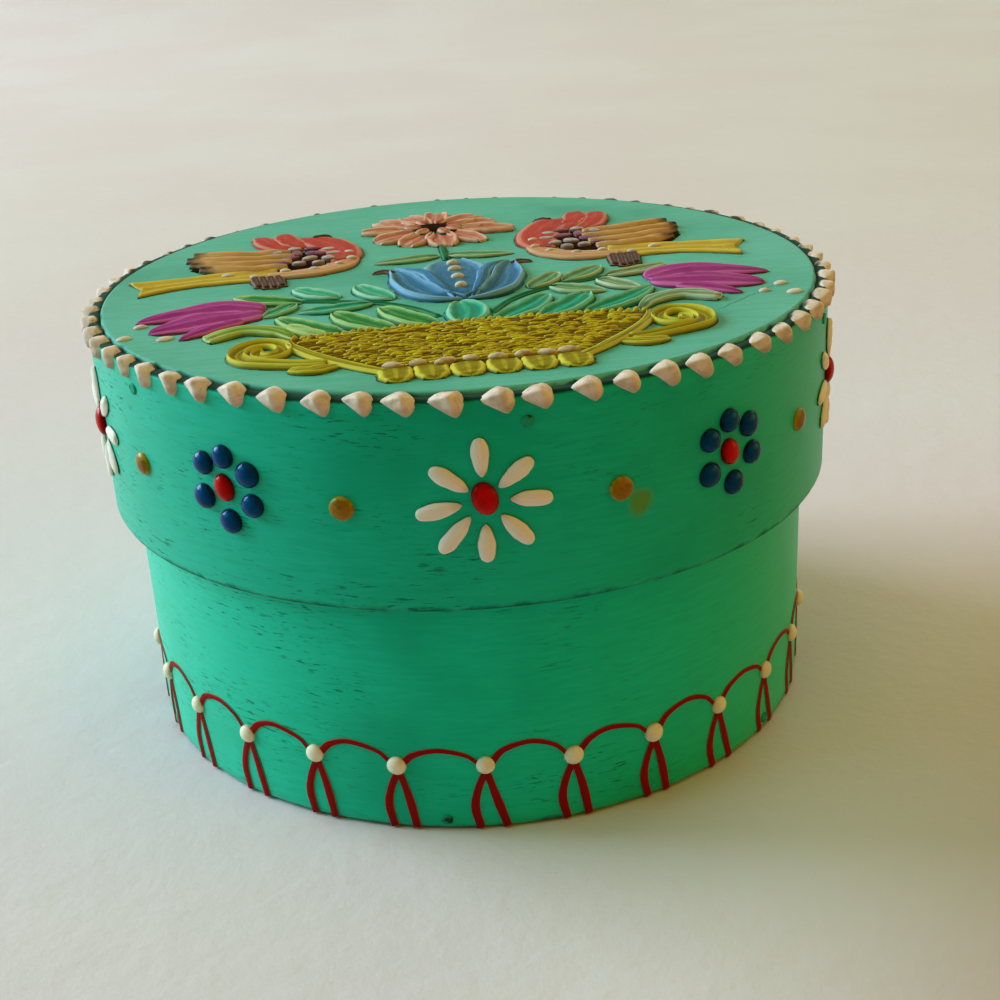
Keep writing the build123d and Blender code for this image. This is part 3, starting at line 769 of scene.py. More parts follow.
@dataclass
class Stroke:
    """A raised stroke of paste: a leaf, petal, feather, stem or scroll. Sizes in millimetres.

    Its width follows (u ** start_power) * (1 - u) ** tip_power unless widths are given along it.
    Across it, rim blends from a plain dome (0) to a hollow between two ridges (1), with a rib in
    the middle.
    """

    path: list[Point]
    width: float
    rise: float
    start_power: float = 0.6
    tip_power: float = 0.8
    widths: list[float] | None = None
    rim: float = 1.0
    hollow: float = 0.5
    rib: float = 0.2
    notch: float = 0.0
    lift: float = 0.0
    waver: float = 0.05
    swell: float = 0.10
    fringe: float = 0.25
    seed: int = 0
    rows: int = 28
    columns: int = 19
    sink: float = 0.25
    least: float = 0.04
    fine: int = 400
    foot: float = -0.02

    def profile(self, u: np.ndarray) -> np.ndarray:
        """Width along the stroke as a share of its greatest width."""
        if self.widths:
            count = self.fine // 2
            shape = smooth_path([(width, 0.0) for width in self.widths], count)[:, 0]
            return np.maximum(np.interp(u, np.linspace(0, 1, count), shape), self.least)
        a, c = self.start_power, self.tip_power
        belly = a / (a + c)
        peak = belly ** a * (1 - belly) ** c
        return np.maximum(u ** a * (1 - u) ** c / peak, self.least)

    def section(self, t: np.ndarray) -> np.ndarray:
        """Height across the stroke as a share of its rise."""
        side = np.abs(t)
        flank = np.clip((1 - side) / FLANK, 0, 1) ** 0.5
        ridge = np.exp(-((side - RIDGE_PLACE) / RIDGE_WIDTH) ** 2)
        rib = self.rib * np.exp(-(t / RIB_WIDTH) ** 2)
        hollow = flank * (self.hollow + (1 - self.hollow) * ridge + rib)
        return (1 - self.rim) * (1 - side ** 2) ** DOME_POWER + self.rim * hollow

    def shell(self, ground: Ground) -> Shell:
        """The stroke as a closed shell on its ground, with a thin fringe round its foot."""
        random = np.random.default_rng(self.seed)
        ease = np.linspace(0, 1, self.rows)
        u = ease if self.widths else 0.5 - 0.5 * np.cos(pi * ease)
        spine = smooth_path(self.path, self.fine)
        steps = np.linspace(0, 1, self.fine)
        line, heading = (
            np.stack([np.interp(u, steps, curve[:, axis]) for axis in range(2)], -1)
            for curve in (spine, np.gradient(spine, axis=0))
        )
        heading /= np.linalg.norm(heading, axis=1, keepdims=True)
        side = np.stack([-heading[:, 1], heading[:, 0]], -1)
        share = self.profile(u)
        t = np.sin(np.linspace(-pi / 2, pi / 2, self.columns))
        wave = 1 + uneven(random, u, np.zeros_like(u), self.waver)
        reach = (self.width / 2 * share * wave)[:, None] * t[None, :]
        reach[:, 0] -= self.fringe
        reach[:, -1] += self.fringe
        flat = line[:, None, :] + side[:, None, :] * reach[..., None]
        notch = self.notch * (1 - np.abs(t)) * (u ** 6)[:, None]
        flat = flat - heading[:, None, :] * notch[..., None]
        swell = 1 + uneven(random, u[:, None], t[None, :], self.swell)
        tall = np.clip(share, 0, 1)[:, None] ** 0.5 * swell * self.rise
        high = tall * self.section(t)[None, :] + self.lift
        high[:, [1, -2]] = np.minimum(high[:, [1, -2]], LIP_HEIGHT + self.lift)
        high[:, [0, -1]] = self.lift + self.foot
        skirt = max(self.fringe, LEAST_SKIRT)
        ends = flat[:1] - heading[0] * skirt, flat[-1:] + heading[-1] * skirt
        flat = np.concatenate([ends[0], flat, ends[1]])
        high = np.pad(high, ((1, 1), (0, 0)), constant_values=self.lift + self.foot) * MM
        low = np.full_like(high, (self.lift - self.sink) * MM)
        x, y = flat[..., 0] * MM, flat[..., 1] * MM
        across = 0.5 + MAP_HALF * t
        across[0], across[-1] = 0.0, 1.0
        along = np.concatenate([[0.0], u, [1.0]])[:, None]
        chart = np.stack(np.broadcast_arrays(along, across[None, :]), -1)
        chart[[0, -1], :, 1] = np.round(chart[[0, -1], :, 1])
        return slab(ground.place(x, y, high), ground.place(x, y, low), chart)

    def mirrored(self, axis: float = 0.0) -> "Stroke":
        """The same stroke on the other side of an upright axis."""
        return replace(self, path=[(2 * axis - x, y) for x, y in self.path], seed=self.seed + 71)


@dataclass
class Dot:
    """A round or oval raised dot of paint. Sizes in millimetres, its turn in degrees."""

    x: float
    y: float
    width: float
    rise: float
    length: float | None = None
    turn: float = 0.0
    lift: float = 0.0
    rings: int = 7
    around: int = 18
    sink: float = 0.35

    def shell(self, ground: Ground) -> Shell:
        """The dot as a closed shell on its ground, mapped from its top (0) to its foot (1)."""
        length = self.length or self.width
        fall = np.linspace(0, 1, self.rings + 1)[1:]
        reach = np.sin(fall * pi / 2)
        tall = np.cos(fall * pi / 2)
        angle = np.linspace(0, 2 * pi, self.around, endpoint=False)
        along = np.outer(reach, np.cos(angle)) * length / 2
        across = np.outer(reach, np.sin(angle)) * self.width / 2
        c, s = cos(radians(self.turn)), sin(radians(self.turn))
        x = np.append(self.x + along * c - across * s, [self.x, self.x]) * MM
        y = np.append(self.y + along * s + across * c, [self.y, self.y]) * MM
        high = np.repeat(tall * self.rise + self.lift, self.around)
        high[-self.around:] = -self.sink
        high = np.append(high, [self.rise + self.lift, -self.sink]) * MM
        crown = self.rings * self.around
        faces = dome_faces(0, self.rings, self.around, crown, crown + 1)
        turns = np.append(np.tile(angle / (2 * pi), self.rings), [0, 0])
        chart = np.stack([turns, np.append(np.repeat(fall, self.around), [0, 1])], -1)
        return Shell(ground.place(x, y, high), faces, chart)


def piece(name: str, mesh: bpy.types.Mesh, finish: Finish, body: str, *nodes: str) -> None:
    """Put a finished mesh in the scene as a piece of the object.

    Args:
        name: the piece's name.
        mesh: its mesh, in place.
        finish: its material.
        body: the body that it rides on.
        nodes: the CAD nodes that it stands for.
    """
    mesh.name = name
    shape = bpy.data.objects.new(name, mesh)
    bpy.context.scene.collection.objects.link(shape)
    mesh.materials.clear()
    mesh.materials.append(finish.material())
    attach(shape, body)
    if nodes:
        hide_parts(*nodes)
    LOG.info("%s: %d faces", name, len(mesh.polygons))


def dress(node: str, finish: Finish) -> None:
    """Give a CAD node that stays its finished material."""
    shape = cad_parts[node]
    for slot in shape.material_slots:
        slot.material = finish.material()
    LOG.info("%s: dressed with %s", node, finish.name)


class Recipe:
    """A Geometry Nodes group with named inputs, run once to give a plain mesh."""

    def __init__(self, name: str) -> None:
        """Start an empty group with a geometry output."""
        self.group = bpy.data.node_groups.new(name, "GeometryNodeTree")
        self.socket("Geometry", "OUTPUT", "Geometry")
        self.graph = Graph(self.group)
        self.entry = self.group.nodes.new("NodeGroupInput")
        self.exit = self.group.nodes.new("NodeGroupOutput")

    def socket(self, name: str, way: str, kind: str) -> bpy.types.NodeTreeInterfaceSocket:
        """Add a socket to the group's outside."""
        kind = f"NodeSocket{kind}"
        return self.group.interface.new_socket(name=name, in_out=way, socket_type=kind)

    def inputs(self, given: dict[str, int | float | str]) -> list[Signal]:
        """Add inputs and return their signals: a number is a default, a text a socket's kind."""
        for name, value in given.items():
            if isinstance(value, str):
                self.socket(name, "INPUT", value)
            else:
                kind = "Int" if isinstance(value, int) else "Float"
                self.socket(name, "INPUT", kind).default_value = value
        return [Signal(self.graph, self.entry.outputs[name]) for name in given]

    def spread(self, seed: Signal, step: int) -> Signal:
        """A random number from 0 to 1 for each copy."""
        index = self.graph.out("GeometryNodeInputIndex")
        inputs = {2: 0.0, 3: 1.0, "ID": index, "Seed": seed * 7.0 + float(step)}
        settings = {"data_type": "FLOAT"}
        return self.graph.out("FunctionNodeRandomValue", inputs, settings, output=1)

    def shape(self, source: Signal) -> Signal:
        """An object's geometry as one instance."""
        inputs = {"Object": source, "As Instance": True}
        return self.graph.out("GeometryNodeObjectInfo", inputs, output="Geometry")

    def close(self, geometry: Signal, finish: Signal) -> None:
        """End the group: real meshes with one material."""
        real = self.graph.out("GeometryNodeRealizeInstances", {0: geometry})
        inputs = {"Geometry": real, "Material": finish}
        painted = self.graph.out("GeometryNodeSetMaterial", inputs)
        self.graph.feed(self.exit.inputs[0], painted)

    def run(self, values: dict[str, Any]) -> bpy.types.Mesh:
        """The group's result as a plain mesh, for the given input values."""
        holder = bpy.data.objects.new("holder", bpy.data.meshes.new("holder"))
        bpy.context.scene.collection.objects.link(holder)
        modifier = holder.modifiers.new("recipe", "NODES")
        modifier.node_group = self.group
        for item in self.group.interface.items_tree:
            if item.in_out == "INPUT" and item.name in values:
                modifier[item.identifier] = values[item.name]
        holder.update_tag()
        bpy.context.view_layer.update()
        evaluated = holder.evaluated_get(bpy.context.evaluated_depsgraph_get())
        mesh = bpy.data.meshes.new_from_object(evaluated)
        bpy.data.objects.remove(holder)
        return mesh


class RingRecipe(Recipe):
    """Copies of up to three shapes spread round an upright axis, each a little different."""

    def __init__(self) -> None:
        """Build the group."""
        super().__init__("ring_of_copies")
        graph = self.graph
        shapes = self.inputs({f"Shape {letter}": "Object" for letter in "ABC"})
        count, radius, centre, first, shift, climb, spin, small, tilt, seed, finish = self.inputs({
            "Count": 12, "Radius": 0.05, "Centre": "Vector", "First Angle": 0.0,
            "Angle Jitter": 0.0, "Height Jitter": 0.0, "Spin Jitter": 0.0, "Least Scale": 1.0,
            "Tilt": 0.0, "Seed": 0, "Finish": "Material",
        })
        index = graph.out("GeometryNodeInputIndex")
        angle = first + index * (2 * pi) / count + self.random(shift, seed, 1)
        back = radius * graph.math("COSINE", angle) * -1.0
        height = self.random(climb, seed, 2) + back * tilt
        offset = graph.join(radius * graph.math("SINE", angle), back, height)
        place = graph.vector("ADD", offset, centre)
        spots = graph.out("GeometryNodePoints", {"Count": count, "Position": place})
        copies = graph.add("GeometryNodeJoinGeometry")
        for shape in shapes:
            self.group.links.new(self.shape(shape).socket, copies.inputs[0])
        choice = {"Min": 0, "Max": 2, "ID": index, "Seed": seed}
        settings = {"data_type": "INT"}
        which = graph.out("FunctionNodeRandomValue", choice, settings, output=2)
        size = 1.0 - self.spread(seed, 4) * (1.0 - small)
        self.close(graph.out("GeometryNodeInstanceOnPoints", {
            "Points": spots, "Instance": Signal(graph, copies.outputs[0]), "Pick Instance": True,
            "Instance Index": which, "Scale": graph.join(size, size, size),
            "Rotation": graph.join(0.0, self.random(spin, seed, 3), angle),
        }), finish)

    def random(self, size: Signal, seed: Signal, step: int) -> Signal:
        """A random number between minus size and size for each copy."""
        return (self.spread(seed, step) * 2.0 - 1.0) * size


class StripRecipe(Recipe):
    """A thin strip bent into a ring, slightly uneven as steamed wood is, its edges rounded."""

    def __init__(self) -> None:
        """Build the group."""
        super().__init__("bent_strip")
        graph = self.graph
        outside, thickness, bottom, height, uneven, steps, finish = self.inputs({
            "Outside": 0.05, "Thickness": 0.002, "Bottom": 0.0, "Height": 0.05,
            "Unevenness": 0.0002, "Steps": 360, "Finish": "Material",
        })
        circle = {"Resolution": steps, "Radius": outside - thickness * 0.5}
        ring = graph.out("GeometryNodeCurvePrimitiveCircle", circle)
        section = graph.out("GeometryNodeCurvePrimitiveQuadrilateral", {0: thickness, 1: height})
        rounding = {"Curve": section, "Radius": thickness * 0.28, "Count": 4}
        soft = graph.out("GeometryNodeFilletCurve", rounding, {"mode": "POLY"})
        fine = {"Curve": soft, "Count": 120}
        even = graph.out("GeometryNodeResampleCurve", fine, {"mode": "COUNT"})
        tube = graph.out("GeometryNodeCurveToMesh", {"Curve": ring, "Profile Curve": even})
        x, y, z = graph.parts(graph.out("GeometryNodeInputPosition"))
        reach = graph.reach(x, y)
        broad = graph.noise(graph.join(x, y, z * 0.3), scale=26.0, detail=1.0)
        close = graph.noise(graph.join(x, y, z * 0.12), scale=130.0)
        dent = (broad * 0.65 + close * 0.35) * uneven
        share = (reach - dent) / reach
        edge = (graph.noise(graph.join(x, y, 0.3), scale=34.0) - 0.5) * uneven * 1.2
        rise = z + height * 0.5 + bottom + abs(edge) * graph.smooth(z, 0.002, -0.004)
        moved = {"Geometry": tube, "Position": graph.join(x * share, y * share, rise)}
        shaped = graph.out("GeometryNodeSetPosition", moved)
        self.close(graph.out("GeometryNodeSetShadeSmooth", {"Geometry": shaped}), finish)


class DashRecipe(Recipe):
    """Short raised dashes in rows over the basket's bowl."""

    def __init__(self) -> None:
        """Build the group."""
        super().__init__("basket_dashes")
        graph = self.graph
        (shape, rows, columns, rim_half, base_half, rim_y, base_y, sag, crown, ground, lean, seed,
         finish) = self.inputs({
            "Shape": "Object", "Rows": 13, "Columns": 34, "Rim Half": 0.02, "Base Half": 0.01,
            "Rim Y": -0.023, "Base Y": -0.038, "Sag": 0.0016, "Crown": 0.0008,
            "Ground": "Vector", "Lean": 0.0, "Seed": 3, "Finish": "Material",
        })
        index = graph.out("GeometryNodeInputIndex")
        row = graph.math("FLOOR", index / columns)
        column = index - row * columns
        down = (row + 0.5) / rows
        wander_x = self.about(seed, 1) * 0.9
        wander_y = self.about(seed, 2) * 0.35
        across = graph.math("FRACT", (column + 0.5 + wander_x + (row * 0.37)) / columns)
        across = (across * 2.0 - 1.0) * 0.96
        narrow = down * BOWL_STRAIGHT + graph.math("POWER", down, BOWL_POWER) * BOWL_CURVED
        half = rim_half + (base_half - rim_half) * narrow
        fall = (base_y - rim_y) * (down + wander_y / rows)
        y = rim_y + fall - sag * across * across * (1.0 - down)
        off = down - BOWL_MIDDLE
        bulge = 1.0 - across * across * BOWL_SIDES - off * off * BOWL_ENDS
        place = {"Vector": graph.join(across * half, y, crown * bulge), "Angle": lean}
        turned = graph.out("ShaderNodeVectorRotate", place, {"rotation_type": "Z_AXIS"})
        place = graph.vector("ADD", turned, ground)
        spots = graph.out("GeometryNodePoints", {"Count": rows * columns, "Position": place})
        missing = graph.math("LESS_THAN", self.spread(seed, 5), 0.16)
        gone = {"Geometry": spots, "Selection": missing}
        kept = graph.out("GeometryNodeDeleteGeometry", gone, {"domain": "POINT"})
        long = 0.55 + self.spread(seed, 3) * 0.75
        wide = 0.75 + self.spread(seed, 4) * 0.5
        self.close(graph.out("GeometryNodeInstanceOnPoints", {
            "Points": kept, "Instance": self.shape(shape), "Scale": graph.join(long, wide, wide),
            "Rotation": graph.join(0.0, 0.0, self.about(seed, 6) * 0.5 + lean),
        }), finish)

    def about(self, seed: Signal, step: int) -> Signal:
        """A random number between -0.5 and 0.5 for each dash."""
        return self.spread(seed, step) - 0.5


# The inner radius darkens the beads on their side towards the lid's middle, more at the back:
# painted shade.
CREAM = DropPaint(
    "cream_paint", "cream_paint", (0.8, 0.64, 0.49), (0.6, 0.42, 0.27), (0.32, 0.19, 0.09),
    dirt_share=0.35, rim_start=0.6, roughness=0.42, inner=48.75 * MM,
)
WHITE = DropPaint(
    "white_paint", "white_paint", (0.66, 0.58, 0.44), (0.48, 0.4, 0.27), (0.38, 0.28, 0.16),
    dirt_share=0.35, roughness=0.4,
)
PEARL = DropPaint(
    "basket_cream", "cream_paint", (0.62, 0.5, 0.3), (0.42, 0.28, 0.11), (0.24, 0.12, 0.03),
    dirt_share=0.55, rim_start=0.5, roughness=0.4,
)
DASH = DropPaint(
    "basket_yellow", "basket_paint", (0.6, 0.48, 0.01), (0.2, 0.12, 0.002), (0.2, 0.1, 0.002),
    dirt_share=0.5, rim_start=0.60, roughness=0.4,
)
LACE_DOT = DropPaint(
    "lacing_cream", "cream_paint", (0.92, 0.8, 0.56), (0.7, 0.54, 0.3), (0.6, 0.42, 0.2),
    dirt_share=0.25, roughness=0.34,
)
BLUE = DropPaint(
    "dark_blue_paint", "dark_blue_paint",
    (0.001, 0.044, 0.155), (0.001, 0.018, 0.062), (0.001, 0.016, 0.055),
    dirt_share=0.35, rim_start=0.35, roughness=0.10,
    gloss=Gloss(specular=0.28, tint=(0.05, 0.45, 0.6)),
)
RED = DropPaint(
    "red_paint", "red_paint", (0.52, 0.004, 0.003), (0.2, 0.002, 0.001), (0.22, 0.003, 0.001),
    dirt_share=0.4, rim_start=0.4, roughness=0.12,
    gloss=Gloss(specular=0.35, tint=(0.6, 0.06, 0.04)),
)
OCHRE = DropPaint(
    "ochre_paint", "ochre_paint", (0.3, 0.13, 0.002), (0.46, 0.32, 0.004), (0.1, 0.04, 0.002),
    dirt_share=0.5, rim_start=0.50, roughness=0.22,
    gloss=Gloss(specular=0.4, tint=(0.6, 0.5, 0.2)),
)
NECK_PALE = DropPaint(
    "neck_grey", "bird_grey_paint", (0.5, 0.42, 0.34), (0.2, 0.1, 0.09), (0.22, 0.09, 0.1),
    dirt_share=0.45, rim_start=0.5,
)
NECK_PURPLE = DropPaint(
    "neck_purple", "bird_grey_paint", (0.26, 0.08, 0.12), (0.1, 0.02, 0.03), (0.08, 0.015, 0.02),
    dirt_share=0.5, rim_start=0.5,
)
DARK = DropPaint(
    "dark_ground", "dark_brown_paint",
    (0.022, 0.011, 0.006), (0.012, 0.006, 0.003), (0.05, 0.022, 0.01),
    dirt_share=0.4, roughness=0.8, gloss=Gloss(specular=0.0),
)
PETAL = ReliefPaint(
    "petal_cream", "white_paint",
    (0.8, 0.67, 0.5), (0.92, 0.81, 0.66), (0.92, 0.82, 0.66), (0.93, 0.85, 0.72), (0.76, 0.6, 0.42),
    root_end=0.3, rim_share=0.3, hollow_share=0.15, streaks=0.35, flank=(0.45, 0.32, 0.16),
    glaze_and_shade=(0.02, 0.07, 0.03),
)
LACING = ReliefPaint(
    "lacing_red", "red_paint",
    (0.25, 0.006, 0.005), (0.29, 0.006, 0.005), (0.25, 0.006, 0.005), (0.33, 0.012, 0.006),
    (0.2, 0.004, 0.003), rim_share=0.3, hollow_share=0.1, streaks=0.35, flank=(0.42, 0.16, 0.07),
    glaze_and_shade=(0.32, 0.12, 0.05), roughness=0.36,
)
TULIP_BLUE = ReliefPaint(
    "tulip_blue", "tulip_blue_paint",
    (0.02, 0.11, 0.21), (0.055, 0.2, 0.32), (0.12, 0.31, 0.45), (0.22, 0.42, 0.56),
    (0.014, 0.08, 0.14), tip_start=0.55, hollow_share=0.4,
)
TULIP_PURPLE = ReliefPaint(
    "tulip_purple", "tulip_purple_paint",
    (0.48, 0.09, 0.25), (0.4, 0.045, 0.21), (0.33, 0.024, 0.16), (0.56, 0.14, 0.32),
    (0.15, 0.003, 0.07), root_end=0.3, tip_start=0.7, hollow_share=0.5, rim_share=0.75,
)
DAISY = ReliefPaint(
    "daisy_peach", "daisy_paint",
    (0.38, 0.06, 0.035), (0.56, 0.22, 0.13), (0.66, 0.42, 0.27), (0.68, 0.42, 0.27),
    (0.38, 0.09, 0.045), root_end=0.55, tip_start=0.7, streaks=0.6, hollow_share=0.5,
    rim_share=0.75,
)
BIRD_RED = ReliefPaint(
    "bird_red", "bird_red_paint",
    (0.42, 0.06, 0.04), (0.48, 0.06, 0.035), (0.45, 0.09, 0.05), (0.62, 0.26, 0.16),
    (0.34, 0.028, 0.018), streaks=0.4, hollow_share=0.4, rim_share=0.65,
)
BIRD_BELLY = ReliefPaint(
    "bird_peach", "bird_peach_paint",
    (0.52, 0.2, 0.1), (0.58, 0.33, 0.15), (0.58, 0.36, 0.15), (0.64, 0.42, 0.22),
    (0.42, 0.13, 0.05), hollow_share=0.25, rim_share=0.5,
)
BIRD_WING = ReliefPaint(
    "bird_wing", "bird_wing_paint",
    (0.56, 0.34, 0.15), (0.6, 0.33, 0.11), (0.022, 0.012, 0.006), (0.68, 0.42, 0.17),
    (0.14, 0.055, 0.01), tip_start=0.78, streaks=0.45, hollow_share=0.1, rim_share=0.25,
    flank=(0.045, 0.02, 0.006), glaze_and_shade=(0.02, 0.012, 0.005),
)
BIRD_TAIL = ReliefPaint(
    "bird_tail", "bird_yellow_paint",
    (0.6, 0.38, 0.08), (0.6, 0.41, 0.04), (0.5, 0.33, 0.02), (0.7, 0.52, 0.09),
    (0.3, 0.19, 0.01), tip_start=0.85, streaks=0.45, hollow_share=0.45, rim_share=0.6,
)
BROWN = ReliefPaint(
    "dark_brown", "dark_brown_paint",
    (0.13, 0.07, 0.044), (0.15, 0.08, 0.052), (0.09, 0.048, 0.03), (0.26, 0.15, 0.11),
    (0.03, 0.014, 0.008), streaks=0.6,
)
YELLOW = ReliefPaint(
    "handle_yellow", "basket_paint",
    (0.34, 0.28, 0.016), (0.38, 0.32, 0.012), (0.5, 0.44, 0.03), (0.64, 0.58, 0.06),
    (0.18, 0.13, 0.004), streaks=0.35,
)


class LeafTone(Enum):
    """The greens of the leaves: base, rim and hollow colour."""

    GREEN = ((0.06, 0.26, 0.05), (0.36, 0.56, 0.2), (0.014, 0.12, 0.03))
    TEAL = ((0.03, 0.38, 0.21), (0.24, 0.56, 0.36), (0.008, 0.18, 0.095))
    MINT = ((0.09, 0.42, 0.23), (0.36, 0.62, 0.4), (0.02, 0.25, 0.12))
    OLIVE = ((0.17, 0.35, 0.15), (0.42, 0.52, 0.29), (0.05, 0.16, 0.055))
    LIME = ((0.26, 0.4, 0.05), (0.52, 0.58, 0.18), (0.07, 0.16, 0.01))
    PALE = ((0.26, 0.38, 0.18), (0.5, 0.56, 0.36), (0.07, 0.15, 0.045))
    STEM = ((0.012, 0.14, 0.05), (0.04, 0.26, 0.1), (0.006, 0.08, 0.026))

    @property
    def finish(self) -> ReliefPaint:
        """The tone as a paint."""
        base, rim, hollow = self.value
        colours = (hollow, base, rim, rim, hollow)
        name = f"leaf_{self.name.lower()}"
        return ReliefPaint(name, "leaf_paint", *colours, root_end=0.25, streaks=0.45)


def template(shell: Shell) -> bpy.types.Object:
    """A shell as an unlinked object, for a recipe to copy."""
    return bpy.data.objects.new("template", shell.mesh("template"))


@dataclass
class Shop:
    """The recipes that several sub-assemblies share."""

    ring: RingRecipe = field(default_factory=RingRecipe)
    strip: StripRecipe = field(default_factory=StripRecipe)
    dashes: DashRecipe = field(default_factory=DashRecipe)

    def copies(
        self, name: str, shapes: list[Shell], finish: Finish, body: str, node: str, **values: Any
    ) -> None:
        """Make one piece of copies of up to three shapes round the box.

        Args:
            name: the piece's name.
            shapes: what is copied.
            finish: its material.
            body: the body that it rides on.
            node: the CAD node that it stands for.
            values: the ring recipe's inputs, such as first_angle for First Angle.
        """
        objects = [template(shell) for shell in (shapes * 3)[:3]]
        inputs = dict(zip(("Shape A", "Shape B", "Shape C"), objects))
        inputs["Finish"] = finish.material()
        inputs.update({key.replace("_", " ").title(): value for key, value in values.items()})
        mesh = self.ring.run(inputs)
        for shape in objects:
            bpy.data.objects.remove(shape)
        piece(name, mesh, finish, body, node)


def strokes(name: str, parts: list[Stroke | Dot], finish: Finish, *nodes: str) -> None:
    """Lay strokes and dots of one paint on the lid as one piece."""
    shell = Shell.joined([part.shell(LidTop()) for part in parts])
    piece(name, shell.mesh(name), finish, "lid", *nodes)


def pair(*parts: Stroke, axis: float = 0.0) -> list[Stroke]:
    """Strokes and their mirror images."""
    return [copy for part in parts for copy in (part, part.mirrored(axis))]


@dataclass
class Band:
    """A bent strip, the disc let into it, and the painted-over nails that hold the disc."""

    name: str
    body: str
    paint: StripPaint
    disc: str
    disc_finish: Finish
    brads: str
    brad_height: float
    first_brad: float
    brad_count: int = 6
    unevenness: float = 0.22 * MM

    def build(self, shop: Shop) -> None:
        """Make the strip, dress the disc, and make the low nail heads."""
        paint = self.paint
        mesh = shop.strip.run({
            "Outside": paint.outside, "Thickness": paint.thickness, "Bottom": paint.bottom,
            "Height": paint.top - paint.bottom, "Unevenness": self.unevenness,
            "Finish": paint.material(),
        })
        piece(f"{self.name}_wall", mesh, paint, self.body, f"{self.name}_band")
        dress(self.disc, self.disc_finish)
        head = Dot(0, 0, 1.5, 0.12, length=1.6, sink=0.25, rings=4, around=14)
        shop.copies(
            f"{self.brads}_painted", [head.shell(Wall(paint.outside))], BradFinish(), self.body,
            self.brads, count=self.brad_count, radius=paint.outside, seed=3,
            centre=(0.0, 0.0, self.brad_height), first_angle=self.first_brad,
        )


# The body's paint is set lighter than the lid's, though it is the same paint, to make up for the
# shade under the lid's edge: painted light.
BODY_PAINT = StripPaint(
    "body_paint", BODY_RADIUS, 2.0 * MM, BODY_BOTTOM, BODY_TOP,
    base=(0.006, 0.53, 0.295), light=(0.01, 0.6, 0.35),
)
# The lid's edge colour paints its top edge near black: partly dark end grain, partly painted shade
# under the beads.
LID_PAINT = StripPaint(
    "lid_paint", LID_RADIUS, 1.8 * MM, LID_BOTTOM, LID_TOP,
    edge=(0.004, 0.03, 0.012), smear=(radians(19.0), 42.7 * MM),
)
BODY_BAND = Band(
    "body", "box", BODY_PAINT, "body_base", WoodFinish(), "base_brads", 1.6 * MM, radians(-10.4)
)
LID_BAND = Band(
    "lid", "lid", LID_PAINT, "lid_panel", PanelPaint(), "lid_brads", 54.6 * MM, radians(3.9)
)


@dataclass
class Lacing:
    """Red arches and legs with cream dots round the foot of the body. Sizes in millimetres."""

    count: int = 27
    first: float = radians(-4.1)
    dot_height: float = 9.3
    dot_width: float = 2.65
    dot_rise: float = 0.95
    line_rise: float = 0.13
    seed: int = 5

    def build(self, shop: Shop) -> None:
        """Make the arches, the legs and the dots."""
        ground = Wall(BODY_RADIUS)
        half = pi * BODY_RADIUS / MM / self.count
        common = {
            "count": self.count, "radius": BODY_RADIUS, "centre": (0.0, 0.0, self.dot_height * MM)
        }
        shapes = ((2.7, -0.5), (2.9, 0.1), (2.3, -0.2))
        arches = [self.arch(half, top, lean).shell(ground) for top, lean in shapes]
        shop.copies(
            "lacing_arches_painted", arches, LACING, "box", "lacing_arches",
            first_angle=self.first + pi / self.count, seed=self.seed, **common,
        )
        legs = [
            Shell.joined([leg.shell(ground) for leg in self.legs(spread)])
            for spread in (1.9, 2.15, 2.4)
        ]
        shop.copies(
            "lacing_legs_painted", legs, LACING, "box", "lacing_legs",
            first_angle=self.first, angle_jitter=0.002, seed=self.seed + 1, **common,
        )
        dot = Dot(0, 0, self.dot_width, self.dot_rise).shell(ground)
        shop.copies(
            "lacing_dots_painted", [dot], LACE_DOT, "box", "lacing_dots", first_angle=self.first,
            height_jitter=0.2 * MM, least_scale=0.9, seed=self.seed, **common,
        )

    def arch(self, half: float, top: float, lean: float) -> Stroke:
        """One arch, from dot to dot: it starts thick and runs out thin."""
        reach = half - 0.7
        path = [
            (-reach, 0.3), (-0.58 * half, 0.72 * top), (lean, top), (0.56 * half, 0.68 * top),
            (reach, 0.2),
        ]
        return Stroke(
            path, 0.95, self.line_rise, widths=[0.95, 1.0, 0.85, 0.72, 0.66, 0.60, 0.62], rim=0,
            fringe=0, rows=34, columns=9, seed=int(10 * top), sink=0.3, waver=0.06,
        )

    def legs(self, spread: float) -> list[Stroke]:
        """Two legs from a dot down to the box's foot: the left bowed, the right straight."""
        left = [(0.1, -0.6), (-1.05, -3.4), (-1.5, -6.0), (-0.95, -8.95)]
        right = [(0.1, -0.6), (1.1, -4.4), (spread, -8.95)]
        return [
            Stroke(path, 1.15, self.line_rise, widths=[0.7, 0.85, 0.95, 1.0, 0.95], rim=0,
                   fringe=0, rows=22, columns=9, seed=seed, sink=0.3)
            for seed, path in enumerate((left, right))
        ]


